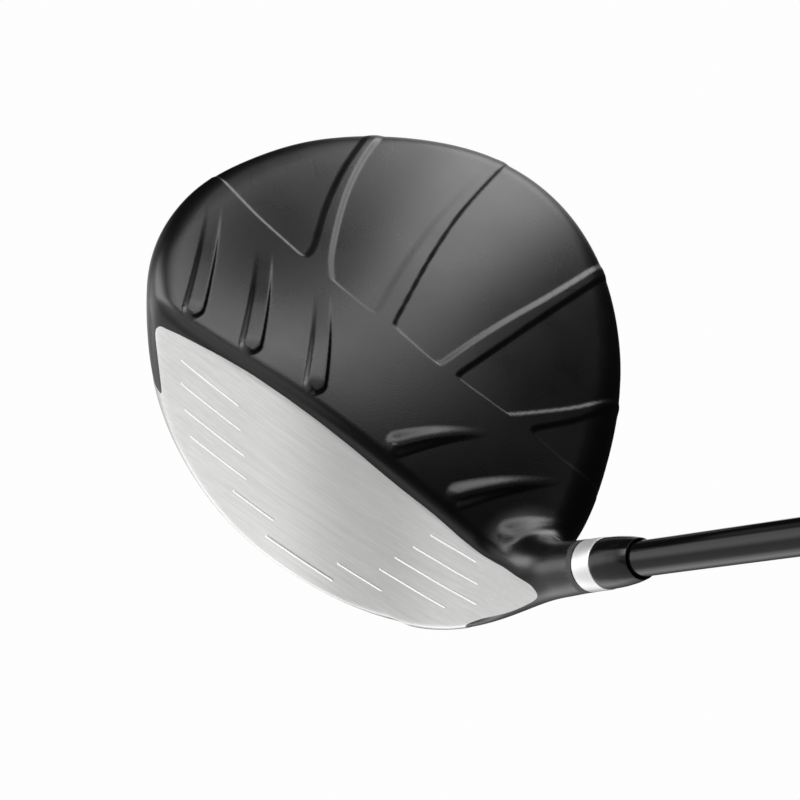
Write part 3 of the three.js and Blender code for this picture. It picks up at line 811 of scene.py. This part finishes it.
def glowing_white(name):
    t = new_material(name)
    t.tree.nodes.remove(t.bsdf)
    glow = t.feed(t.add("ShaderNodeEmission"), Color=(0.985, 0.985, 0.985, 1), Strength=1.0)
    t.feed(t.tree.nodes["Material Output"], Surface=glow.outputs[0])
    return t.owner


BLACK_PAINT = dict(colour=(0.0010, 0.0010, 0.00105), roughness=0.285, specular=0.5, grain=1.6)
STEEL = dict(grey=(0.52, 0.52, 0.53), roughness=0.30, line_scale=3600)
ON_SHAFT = dict(origin=HEEL_POINT, axis=SHAFT_AXIS)
ON_WEIGHT = dict(origin=WEIGHT_POINT, axis=WEIGHT_AXIS)

CROWN_PAINT = paint("crown_paint", speckle=0.5, **BLACK_PAINT)
BODY_PAINT = paint("body_paint", speckle=0.4, **BLACK_PAINT)
FACE_METAL = face_metal("face_brushed")
LINE_FILL = line_fill("score_line_fill")
COLLAR = turned_metal("collar_turned", grey=(0.68, 0.68, 0.68), roughness=0.40,
                      line_scale=5200, metallic=0.65, **ON_SHAFT)
FERRULE = gloss("ferrule_gloss", colour=(0.003, 0.003, 0.0034), roughness=0.15, specular=0.24)
SHAFT = gloss("shaft_gloss", colour=(0.002, 0.002, 0.0023), roughness=0.12, specular=0.21)
HOSEL_STEEL = turned_metal("hosel_screw_steel", **STEEL, **ON_SHAFT)
WEIGHT_STEEL = turned_metal("weight_screw_steel", **STEEL, **ON_WEIGHT)
WEIGHT_METAL = turned_metal("weight_metal", grey=(0.36, 0.36, 0.37), roughness=0.34,
                            line_scale=3000, **ON_WEIGHT)
PORT_PAINT = paint("port_dark", colour=(0.03, 0.03, 0.032), roughness=0.6, specular=0.4,
                   speckle=0.3, grain=0.6)
GRIP = matte("grip_rubber", colour=(0.020, 0.020, 0.021), roughness=0.72)
TAPE = matte("grip_tape_paper", colour=(0.62, 0.56, 0.42), roughness=0.9)
PLUG = matte("tip_plug_nylon", colour=(0.42, 0.41, 0.38), roughness=0.6)
PAD = matte("pad_rubber", colour=(0.03, 0.03, 0.03), roughness=0.85)


# =====================================================================
# Mesh builders
# =====================================================================
def link_mesh(name, verts, faces, material, body, slot, replaces=(), loop_normals=None,
              sharp_angle=None):
    mesh = bpy.data.meshes.new(name)
    faces = [list(map(int, face)) for face in faces]
    mesh.from_pydata((np.asarray(verts) * MM).tolist(), [], faces)
    mesh.update()
    mesh.polygons.foreach_set("use_smooth", np.ones(len(mesh.polygons), bool))
    if sharp_angle is not None:
        mesh.set_sharp_from_angle(angle=math.radians(sharp_angle))
    if loop_normals is not None:
        mesh.normals_split_custom_set(loop_normals.tolist())
    ob = bpy.data.objects.new(name, mesh)
    bpy.context.scene.collection.objects.link(ob)
    mesh.materials.append(material)
    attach(ob, body)
    if replaces:
        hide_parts(*replaces)


def add_skin(name, verts, tris, normals, thickness, material, slot, replaced):
    verts, faces, loops = sheet_to_shell(verts, tris, normals, thickness)
    link_mesh(name, verts, faces, material, "head", slot, (replaced,), loops)


def ring(origin, axis, radius, height, angles):
    """Points round an axis, with a radius and a height for each angle."""
    u = np.cross([0.0, 1.0, 0.0], axis)
    u /= np.linalg.norm(u)
    v = np.cross(axis, u)
    spokes = np.cos(angles)[:, None] * u + np.sin(angles)[:, None] * v
    return origin + axis * height[:, None] + radius[:, None] * spokes


def lathe(profile, segs, origin, axis):
    """A closed form round an axis, from (radius, height) pairs; either may be a function
    of the angle."""
    angles = np.arange(segs) / segs * 2 * math.pi
    rings, verts, faces = [], [], []
    count = 0
    for pair in profile:
        radius, height = [value(angles) if callable(value) else np.full(segs, float(value))
                          for value in pair]
        points = ring(origin, axis, radius, height, angles)
        if not callable(pair[0]) and pair[0] == 0:
            points = points[:1]
        rings.append(range(count, count + len(points)))
        verts.append(points)
        count += len(points)
    verts = np.concatenate(verts)
    pairs = list(zip(rings[:-1], rings[1:]))
    if len(rings[0]) > 1 and len(rings[-1]) > 1:
        pairs.append((rings[-1], rings[0]))
    for a, b in pairs:
        for i in range(segs):
            j = (i + 1) % segs
            corners = (a[i % len(a)], b[i % len(b)], b[j % len(b)], a[j % len(a)])
            faces.append(tuple(dict.fromkeys(corners)))    # a triangle where a ring is a point
    # turn the faces outward
    fans = np.array([(f[0], f[k], f[k + 1]) for f in faces for k in range(1, len(f) - 1)])
    first, second, third = verts[fans.T]
    if (first * np.cross(second, third)).sum() < 0:
        faces = [face[::-1] for face in faces]
    return verts, faces


def turned(name, profile, material, body, slot, replaces=(), segs=96, sharp_angle=35,
           origin=HEEL_POINT, axis=SHAFT_AXIS, radii=None, arc_steps=4):
    if radii is not None:
        profile = round_profile(profile, radii, arc_steps)
    verts, faces = lathe(profile, segs, origin, axis)
    link_mesh(name, verts, faces, material, body, slot, replaces, sharp_angle=sharp_angle)


def bisect(test, low, high, rounds):
    """Narrows low and high on the place where test turns from true to false."""
    for _ in range(rounds):
        middle = (low + high) / 2
        passed = test(middle)
        low, high = np.where(passed, middle, low), np.where(passed, high, middle)
    return low, high


# =====================================================================
# Head skin: crown, striking face and body, cut from two nets
# =====================================================================
CROWN_STEP = 0.75
BODY_STEP = 0.9
SHELL_THICKNESS, FACE_THICKNESS = 1.3, 2.4


def add_crown(verts, tris):
    verts, tris = clip(verts, tris, lambda p: -metal_region(p))
    verts, tris = clip(verts, tris, crown_region)
    verts, tris = crease(verts, tris)
    points, normals = raised(verts)
    add_skin("crown_shell", points, tris, normals, SHELL_THICKNESS, CROWN_PAINT,
             "crown_paint", "crown")


def add_face(verts, tris):
    verts, tris = clip(verts, tris, metal_region)
    x, _, z = verts.T
    normals = skin_normals(verts)
    points = verts + normals * swell(verts, normals)[:, None]
    # stands 0.10 proud, eased down at its border
    points = points + normals * (fade(-metal_region(verts), 0, 0.45) * 0.10)[:, None]
    # the flare by the neck shades as one with the face
    true_face = np.stack([x / BULGE_RADIUS * COS_LOFT, np.full(len(verts), -COS_LOFT),
                          (TAN_LOFT + (z - FACE_Z) / ROLL_RADIUS) * COS_LOFT], 1)
    true_face /= np.linalg.norm(true_face, axis=1)[:, None]
    facing = (normals * true_face).sum(1)
    ease = (0.85 * fade(x, 40, 47) * fade(z, 24, 31) * fade(facing, 0.55, 0.80))[:, None]
    normals = normals * (1 - ease) + true_face * ease
    normals /= np.linalg.norm(normals, axis=1)[:, None]
    add_skin("striking_face", points, tris, normals, FACE_THICKNESS, FACE_METAL,
             "face_metal", "face_plate")


def add_body(verts, tris):
    verts, tris = clip(verts, tris, lambda p: -metal_region(p))
    verts, tris = clip(verts, tris, lambda p: -crown_region(p))
    verts, tris = clip(verts, tris, port_region)
    verts, tris = crease(verts, tris)
    points, normals = raised(verts)
    add_skin("body_shell_skin", points, tris, normals, SHELL_THICKNESS, BODY_PAINT,
             "head_paint", "body_shell")


net = surface_net((-72, -44, -1.5), (66, 80, 64), CROWN_STEP)
add_crown(*net)
add_face(*net)
add_body(*surface_net((-72, -44, -1.5), (78, 80, 70), BODY_STEP))

# =====================================================================
# Score lines: filled strips across the face
# =====================================================================
# toe end and heel end of each, in x and z
SCORE_LINES = [
    ((-42.9, 44.2), (-25.0, 44.3)), ((-40.5, 38.0), (-21.9, 38.1)),
    ((-36.9, 31.7), (-18.3, 31.7)), ((-32.8, 25.4), (-15.5, 25.4)),
    ((-17.4, 18.9), (-5.1, 18.8)), ((-5.3, 12.1), (14.4, 12.1)),
    ((30.1, 44.4), (42.7, 44.3)), ((27.8, 38.1), (45.6, 38.0)),
    ((25.1, 31.7), (47.6, 31.7)), ((23.1, 25.3), (41.4, 25.3)),
    ((13.4, 18.8), (26.2, 18.8))]
LINE_HALF_WIDTH = 0.27
LINE_STATIONS = 40
LINE_LIFT = 0.03
# place across, in half widths, and height over the face
LINE_SECTION = [(-1, -0.30), (-1, 0.115), (-0.7, 0.15), (0.7, 0.15), (1, 0.115), (1, -0.30)]


def face_point(x, z):
    """Points and normals on the skin of the face over (x, z)."""
    low, high = bisect(lambda y: field(x, y, z) > 0, face_y(x, z) - 3, face_y(x, z) + 8, 30)
    points = np.stack([x, (low + high) / 2, z], 1)
    return points, skin_normals(points)


def score_lines():
    verts, faces = [], []
    base, w, sides = 0, LINE_HALF_WIDTH, len(LINE_SECTION)
    for (x0, z0), (x1, z1) in SCORE_LINES:
        length = math.hypot(x1 - x0, z1 - z0)
        t = np.concatenate([[0, 0.25 * w, 0.6 * w, w],
                            np.linspace(w, length - w, LINE_STATIONS)[1:-1],
                            [length - w, length - 0.6 * w, length - 0.25 * w, length]])
        into_end = np.maximum(0, np.maximum(w - t, t - (length - w))) / w
        half_width = w * np.sqrt(np.maximum(0.02, 1 - into_end ** 2))
        x, z = x0 + (x1 - x0) * t / length, z0 + (z1 - z0) * t / length
        rows = []
        for across, height in LINE_SECTION:
            points, normals = face_point(x, z + across * half_width)
            rows.append(points + normals * (height + LINE_LIFT))
        verts.append(np.stack(rows, 1).reshape(-1, 3))
        last = base + (len(t) - 1) * sides
        for start in range(base, last, sides):
            for k in range(sides):
                a, b = start + k, start + (k + 1) % sides
                faces.append((a, b, b + sides, a + sides))
        faces.append(tuple(base + k for k in reversed(range(sides))))
        faces.append(tuple(last + k for k in range(sides)))
        base = last + sides
    return np.concatenate(verts), faces


link_mesh("score_line_fill", *score_lines(), LINE_FILL, "head", "face_metal", sharp_angle=40)

# =====================================================================
# Everything on the shaft axis. Profiles are (radius, station).
# =====================================================================
COLLAR_BASE = NECK_LENGTH + 0.30
COLLAR_TOP = COLLAR_BASE + 6.26
COLLAR_RADIUS = 6.26
FERRULE_TOP = COLLAR_TOP + 11.95
SLEEVE_RADIUS = 5.0
SPLINE_HEIGHT = 0.4
THREAD_PITCH, THREAD_DEPTH, THREAD_STEP = 0.8, 0.28, 0.1
SHAFT_TIP_RADIUS, SHAFT_BUTT_RADIUS = 4.25, 7.6
TAPER_START, TAPER_LENGTH = 104, 938.0


def triangle_wave(phase):
    phase = phase - np.floor(phase)
    return 1 - np.abs(2 * phase - 1)


def thread_run(start, end, radius):
    """Rings of a screw thread between two stations."""
    def thread(t):
        return lambda angle: radius - THREAD_DEPTH + THREAD_DEPTH * smooth(
            triangle_wave(t / THREAD_PITCH - angle / TURN) * 1.3 - 0.15)
    stations = np.linspace(start, end, int(abs(end - start) / THREAD_STEP))
    return [(thread(t), t) for t in stations]


def star(inner, outer, grow=0.0):
    """A six-lobed socket."""
    return lambda angle: ((inner + outer) / 2 + grow
                          + (outer - inner) / 2 * np.cos(6 * angle))


def splines(share):
    """The sleeve's radius with eight splines, raised by a share of their height."""
    def radius(angle):
        off_middle = (angle + math.pi / 8) % (math.pi / 4) - math.pi / 8
        rise = SPLINE_HEIGHT * smooth((0.65 - np.abs(off_middle) * 5.2) / 0.14 + 0.5)
        return SLEEVE_RADIUS + rise * share
    return radius


def add_sleeve():
    """Adapter sleeve: collar, splines below it, shaft bore above and screw bore below."""
    r = SLEEVE_RADIUS
    collar = [(COLLAR_RADIUS - 1.2, COLLAR_BASE), (COLLAR_RADIUS, COLLAR_BASE),
              (COLLAR_RADIUS, COLLAR_TOP), (COLLAR_RADIUS - 1.2, COLLAR_TOP)]
    profile = [
        (2.3, 40.9), (4.6, 40.9), (r, 41.5), (r, 43.6), (4.75, 43.9), (4.75, 45.2), (r, 45.5),
        (r, 65.7), (splines(0.2), 65.8), (splines(1), 66.2), (splines(1), 72.7),
        (splines(0.2), 72.95), (r, 73.0), (r, COLLAR_BASE),
        *round_profile(collar, [0, 0.25, 0.25, 0]),
        (4.5, COLLAR_TOP), (4.5, 51.4), (2.3, 51.4)]
    turned("adapter_sleeve_turned", profile, COLLAR, "shaft_assembly", "adapter_aluminium",
           ("adapter_sleeve",), segs=192, sharp_angle=32)


def add_ferrule():
    low, top = COLLAR_TOP, FERRULE_TOP
    profile = [(4.55, low + 0.08), (6.10, low + 0.08), (6.10, low + 1.5), (5.96, low + 5),
               (5.5, low + 9.2), (4.95, top), (4.55, top)]
    turned("ferrule_cone", profile, FERRULE, "shaft_assembly", "ferrule_plastic",
           ("ferrule",), segs=128, radii=[0, 0.2, 1.0, 2.0, 2.0, 0.35, 0.1], arc_steps=5)


def shaft_radius(t):
    taper = min(1.0, max(0.0, (t - TAPER_START) / TAPER_LENGTH))
    return SHAFT_TIP_RADIUS + (SHAFT_BUTT_RADIUS - SHAFT_TIP_RADIUS) * taper


def add_shaft():
    tip, butt = shaft_radius(53.4), shaft_radius(1157)
    stations = [53.6] + [54 + 50 * i for i in range(1, 22)] + [1157.5]
    profile = [(tip - 0.2, 53.4)] + [(shaft_radius(t), t) for t in stations]
    profile += [(butt - 0.2, 1157.7), (butt - 1.2, 1157.7)]
    profile += [(max(2.2, shaft_radius(t) - 1.35), t) for t in reversed(stations)]
    profile += [(tip - 1.2, 53.4)]
    turned("shaft_tube", profile, SHAFT, "shaft_assembly", "shaft_paint", ("shaft",),
           sharp_angle=40)


def add_tip_plug():
    profile = [(0, 54.4), (2.3, 54.4), (2.55, 54.7)]
    for t in (56.4, 58.8, 61.2):
        profile += [(2.55, t), (2.3, t + 0.25), (2.3, t + 0.95), (2.55, t + 1.2)]
    profile += [(2.55, 65.6), (2.3, 65.9), (0, 65.9)]
    turned("tip_plug_moulded", profile, PLUG, "shaft_assembly", "plug_plastic",
           ("tip_plug",), segs=64, sharp_angle=30)


def tape_ring(t):
    """Tape wound round the shaft, with a fine spiral seam."""
    base = shaft_radius(t) + 0.3 + 0.34

    def radius(angle):
        off_seam = np.abs((t / 25.0 - angle / TURN + 0.5) % 1.0 - 0.5)
        return base - 0.10 * smooth((0.03 - off_seam) / 0.02)
    return radius


def add_tape():
    stations = np.linspace(898.0, 1158.0, 240)
    profile = [(tape_ring(t), t) for t in stations]
    profile += [(shaft_radius(t) + 0.3, t) for t in stations[::-20]]
    profile += [(shaft_radius(898) + 0.3, 898.0)]
    turned("grip_tape_wrap", profile, TAPE, "shaft_assembly", "tape_fabric", ("grip_tape",),
           sharp_angle=60)


GRIP_STATIONS = (892, 900, 982, 1072, 1127, 1158.4)
GRIP_RADII = (9.3, 9.8, 10.3, 11.5, 12.6, 13.4)


def grip_ring(t):
    """Rubber with two fields of crossed grooves and four ring grooves."""
    base = float(np.interp(t, GRIP_STATIONS, GRIP_RADII))
    grooved = (fade(t, 908, 914) * fade(t, 1010, 1004)
               + fade(t, 1030, 1036) * fade(t, 1146, 1140))
    rings = 0.28 * sum(math.exp(-((t - c) / 0.7) ** 2) for c in (904.5, 1014, 1026, 1150))

    def radius(angle):
        spirals = [t / 11.0 + angle / TURN * 10, t / 11.0 - angle / TURN * 10]
        off_groove = np.minimum(*[np.abs((s + 0.5) % 1.0 - 0.5) for s in spirals])
        return base - 0.30 * grooved * smooth((0.15 - off_groove) / 0.09) - rings
    return radius


def add_grip():
    stations = np.linspace(892.5, 1158.1, 420)
    profile = [(9.0, 892.0)] + [(grip_ring(t), t) for t in stations] + [(13.1, 1158.4)]
    profile += [(shaft_radius(t) + 0.95, t) for t in (1158.4, 1072, 982, 892)]
    turned("grip_moulded", profile, GRIP, "shaft_assembly", "grip_rubber", ("grip",),
           segs=200, sharp_angle=50)
    cap = [(1.3, 1158.7), (13.4, 1158.7), (13.4, 1160.4), (12.2, 1161.7), (10.6, 1162),
           (8.9, 1162), (8.6, 1161.5), (7.6, 1161.5), (7.3, 1162), (2.2, 1162), (1.3, 1161.5)]
    turned("grip_cap_moulded", cap, GRIP, "shaft_assembly", "grip_rubber", ("grip_cap",),
           segs=128, radii=[0, 0.3, 0.8, 0.8, 0.8, 0.2, 0.2, 0.2, 0.2, 0.3, 0.2])


def knurl(share):
    return lambda angle: 4.5 - 0.13 * share * smooth(triangle_wave(angle / TURN * 30) * 1.4 - 0.2)


def add_hosel_screw():
    """Screw with a knurled head, its washer and its clip."""
    socket = star(1.7, 2.5)
    profile = [
        (0, 14.6), (star(1.6, 2.3), 14.6), (socket, 14.3), (socket, 11.5),
        (star(1.7, 2.5, grow=0.2), 11.2), (4.15, 11.2), (4.4, 11.35),
        (knurl(0), 11.6), (knurl(1), 11.9), (knurl(1), 15.5), (knurl(0), 15.8),
        (4.3, 16.1), (2.0, 16.1), (1.8, 16.4), (1.8, 38.9), (2.0, 39.2),
        *thread_run(39.3, 48.9, 2.0), (1.5, 49.8), (0, 49.8)]
    turned("hosel_screw_turned", profile, HOSEL_STEEL, "hosel_screw", "screw_steel",
           ("hosel_screw",), segs=144, sharp_angle=40)
    turned("hosel_screw_washer_turned",
           [(2.5, 16.4), (4.6, 16.4), (4.6, 17.3), (3.6, 18.5), (2.5, 18.5)], HOSEL_STEEL,
           "screw_retainer", "washer_steel", ("hosel_screw_washer",),
           radii=[0.12, 0.15, 0.15, 0.15, 0.1])
    turned("hosel_screw_clip_turned", [(2.35, 38.0), (2.9, 38.0), (2.9, 38.8), (2.35, 38.8)],
           HOSEL_STEEL, "screw_retainer", "screw_steel", ("hosel_screw_clip",), segs=72,
           radii=[0.1, 0.15, 0.15, 0.1])


add_sleeve()
add_ferrule()
add_shaft()
add_tip_plug()
add_tape()
add_grip()
add_hosel_screw()


# =====================================================================
# Rear weight, its pad and its screw, on the weight's own axis
# =====================================================================
def add_weight():
    profile = [(3.0, -6.4), (9.0, -6.4), (9.0, -0.2), (7.5, -0.2), (7.2, -0.55),
               (6.2, -0.55), (5.9, -0.2), (4.6, -0.2), (4.6, -4.2), (3.0, -4.2)]
    turned("rear_weight_turned", profile, WEIGHT_METAL, "rear_weight", "weight_metal",
           ("rear_weight",), segs=160, sharp_angle=32,
           radii=[0.1, 0.25, 0.35, 0.12, 0.12, 0.12, 0.12, 0.25, 0.1, 0.1], **ON_WEIGHT)
    turned("rear_weight_pad_moulded", [(3.2, -7.2), (7.8, -7.2), (7.8, -6.6), (3.2, -6.6)],
           PAD, "rear_weight", "pad_rubber", ("rear_weight_pad",), sharp_angle=50,
           radii=[0.2] * 4, **ON_WEIGHT)


def add_weight_screw():
    socket = star(1.55, 2.2)
    profile = [
        (0, -2.8), (star(1.45, 2.0), -2.8), (socket, -2.5), (socket, -0.95),
        (star(1.55, 2.2, grow=0.2), -0.7), (3.6, -0.7), (3.95, -0.8), (4.1, -1.1),
        (4.1, -3.8), (3.95, -4.0), (2.0, -4.0), (1.8, -4.3), (1.8, -7.8),
        *thread_run(-7.9, -12.0, 2.0), (1.4, -12.6), (0, -12.6)]
    turned("rear_weight_screw_turned", profile, WEIGHT_STEEL, "rear_weight_screw",
           "screw_steel", ("rear_weight_screw",), segs=144, sharp_angle=40, **ON_WEIGHT)


add_weight()
add_weight_screw()

# =====================================================================
# The head's own pockets behind the weight's and the screw's openings
# =====================================================================
LIP_DEPTH = 0.7    # how far under the skin a pocket's wall ends


def lip(radius, origin, axis, inner, outer):
    """Height, round the axis, at which a bore meets the inside of the skin."""
    def height(angles):
        def under_skin(along):
            points = ring(origin, axis, radius + 0 * angles, along, angles)
            return field(*points.T) < -LIP_DEPTH
        start, end = [np.full(len(angles), float(t)) for t in (inner, outer)]
        return bisect(under_skin, start, end, 26)[0]
    return height


def add_pocket(name, profile, place):
    turned(name, profile, PORT_PAINT, "head", "head_paint", segs=128, sharp_angle=40, **place)


add_pocket("weight_pocket", [
    (WEIGHT_HOLE_RADIUS, lip(WEIGHT_HOLE_RADIUS, inner=-5.0, outer=3.0, **ON_WEIGHT)),
    (WEIGHT_HOLE_RADIUS, -7.4), (2.3, -7.4), (2.3, -14.2), (3.6, -14.2), (3.6, -8.6),
    (10.4, -8.6), (10.4, -3.0)], ON_WEIGHT)
add_pocket("screw_pocket", [
    (SCREW_HOLE_RADIUS, lip(SCREW_HOLE_RADIUS, inner=15.0, outer=-2.0, **ON_SHAFT)),
    (SCREW_HOLE_RADIUS, 18.9), (3.2, 18.9), (3.2, 39.9), (5.5, 39.9), (5.5, 73.0),
    (6.3, 73.0), (6.3, 60.0), (6.2, 38.0), (6.2, 12.5)], ON_SHAFT)

# =====================================================================
# Floor: seen only by the camera. Metres.
# =====================================================================
FLOOR_HALF, FLOOR_Z = 30, -0.0005


def add_floor():
    mesh = bpy.data.meshes.new("floor")
    signs = ((-1, -1), (1, -1), (1, 1), (-1, 1))
    corners = [(i * FLOOR_HALF, j * FLOOR_HALF, FLOOR_Z) for i, j in signs]
    mesh.from_pydata(corners, [], [(0, 1, 2, 3)])
    floor = bpy.data.objects.new("floor", mesh)
    bpy.context.scene.collection.objects.link(floor)
    mesh.materials.append(glowing_white("floor_white"))
    for ray in ("diffuse", "glossy", "transmission", "shadow", "volume_scatter"):
        setattr(floor, "visible_" + ray, False)


add_floor()

# =====================================================================
# World: soft lights painted on a dark surround
# =====================================================================
# Each: azimuth kind, azimuth window, elevation window, brightness. A window gives, in
# degrees, where the light starts, is full, starts to fall and ends. Azimuth is 0 straight
# behind the head and + on the heel side; "either" ignores its sign.
SOFT_LIGHTS = [
    ("signed", (-25, -18, -5, 8), (-12, -3, 36, 53), 4.0),         # low behind the head
    ("signed", (-29, -20, -5, 8), (-70, -55, -18, -8), 0.75),      # below it
    ("signed", (-90, -78, -32, -24), (50, 57, 62, 71), 5.8),       # high, behind the toe
    ("signed", (-34, -22, -28, 36), (40, 48, 62, 84), 3.2),        # its spill over the top
    ("signed", (-122, -106, -91, -82), (-3, 8, 40, 54), 5.6),      # toe side
    ("signed", (-135, -115, -92, -82), (-55, -42, -6, 4), 1.7),    # below it
    ("signed", (-84, -74, -24, -14), (-74, -62, -48, -40), 0.5),   # far below, behind the toe
    ("either", (-2, -1, 190, 200), (-100, -95, -76, -62), 0.2),    # straight down
    ("signed", (98, 112, 146, 160), (-4, 6, 34, 50), 0.9),         # in front of the heel
    ("signed", (-174, -150, -108, -96), (18, 30, 64, 80), 1.1),    # in front of the toe, high
    ("either", (112, 130, 190, 200), (-4, 2, 24, 36), 0.8),        # in front
    ("either", (92, 112, 190, 200), (-100, -95, -12, -4), 0.95),   # in front, all below
    ("either", (122, 145, 190, 200), (-80, -72, -62, -50), 1.2),   # in front, far below
    ("either", (56, 70, 92, 112), (-100, -95, -14, -6), 0.3),      # toe and heel sides, below
]
AMBIENT = 0.010
BACKDROP = (0.985, 0.985, 0.985, 1)    # what the camera sees
DEGREES = 57.29578


def add_world():
    world = bpy.data.worlds.new("studio")
    bpy.context.scene.world = world
    t = Tree(world)
    t.tree.nodes.clear()
    direction = t.add("ShaderNodeTexCoord").outputs["Generated"]
    x, y, z = t.feed(t.add("ShaderNodeSeparateXYZ"), direction).outputs
    azimuth = t.math("MULTIPLY", t.math("ARCTAN2", x, y), DEGREES)
    elevation = t.math("MULTIPLY", t.math("ARCSINE", z), DEGREES)
    azimuths = {"signed": azimuth, "either": t.math("ABSOLUTE", azimuth)}

    def window(value, edges):
        rise = t.remap(value, edges[:2], (0, 1), "SMOOTHSTEP")
        fall = t.remap(value, edges[2:], (1, 0), "SMOOTHSTEP")
        return t.math("MULTIPLY", rise, fall)

    total = None
    for kind, across, upward, brightness in SOFT_LIGHTS:
        patch = t.math("MULTIPLY", window(azimuths[kind], across), window(elevation, upward))
        light = t.math("MULTIPLY", patch, brightness)
        total = light if total is None else t.math("ADD", total, light)
    total = t.math("ADD", total, AMBIENT)

    output = t.add("ShaderNodeOutputWorld")
    lit = t.feed(t.add("ShaderNodeBackground"), Color=(1, 1, 1, 1), Strength=total)
    seen = t.feed(t.add("ShaderNodeBackground"), Color=BACKDROP)
    to_camera = t.add("ShaderNodeLightPath").outputs["Is Camera Ray"]
    choice = t.feed(t.add("ShaderNodeMixShader"), to_camera, lit.outputs[0], seen.outputs[0])
    t.feed(output, Surface=choice.outputs[0])


add_world()
bpy.context.scene.view_settings.view_transform = "Standard"
bpy.context.scene.view_settings.look = "None"

# =====================================================================
# Camera: place in millimetres, and the directions of its own axes
# =====================================================================
CAMERA_PLACE = (151.339, -650.0246, 1097.3969)
CAMERA_RIGHT = (0.8211758, 0.5299216, 0.2117863)
CAMERA_UP = (-0.5583454, 0.6693303, 0.4901503)
CAMERA_BACK = (0.1179863, -0.5207495, 0.8455171)


def add_camera():
    data = bpy.data.cameras.new("camera")
    camera = bpy.data.objects.new("camera", data)
    bpy.context.scene.collection.objects.link(camera)
    data.sensor_width = 36
    data.lens = 233.607
    data.clip_start, data.clip_end = 0.05, 60
    place = [c * MM for c in CAMERA_PLACE]
    rows = list(zip(CAMERA_RIGHT, CAMERA_UP, CAMERA_BACK, place))
    camera.matrix_world = Matrix(rows + [(0, 0, 0, 1)])
    bpy.context.scene.camera = camera


add_camera()
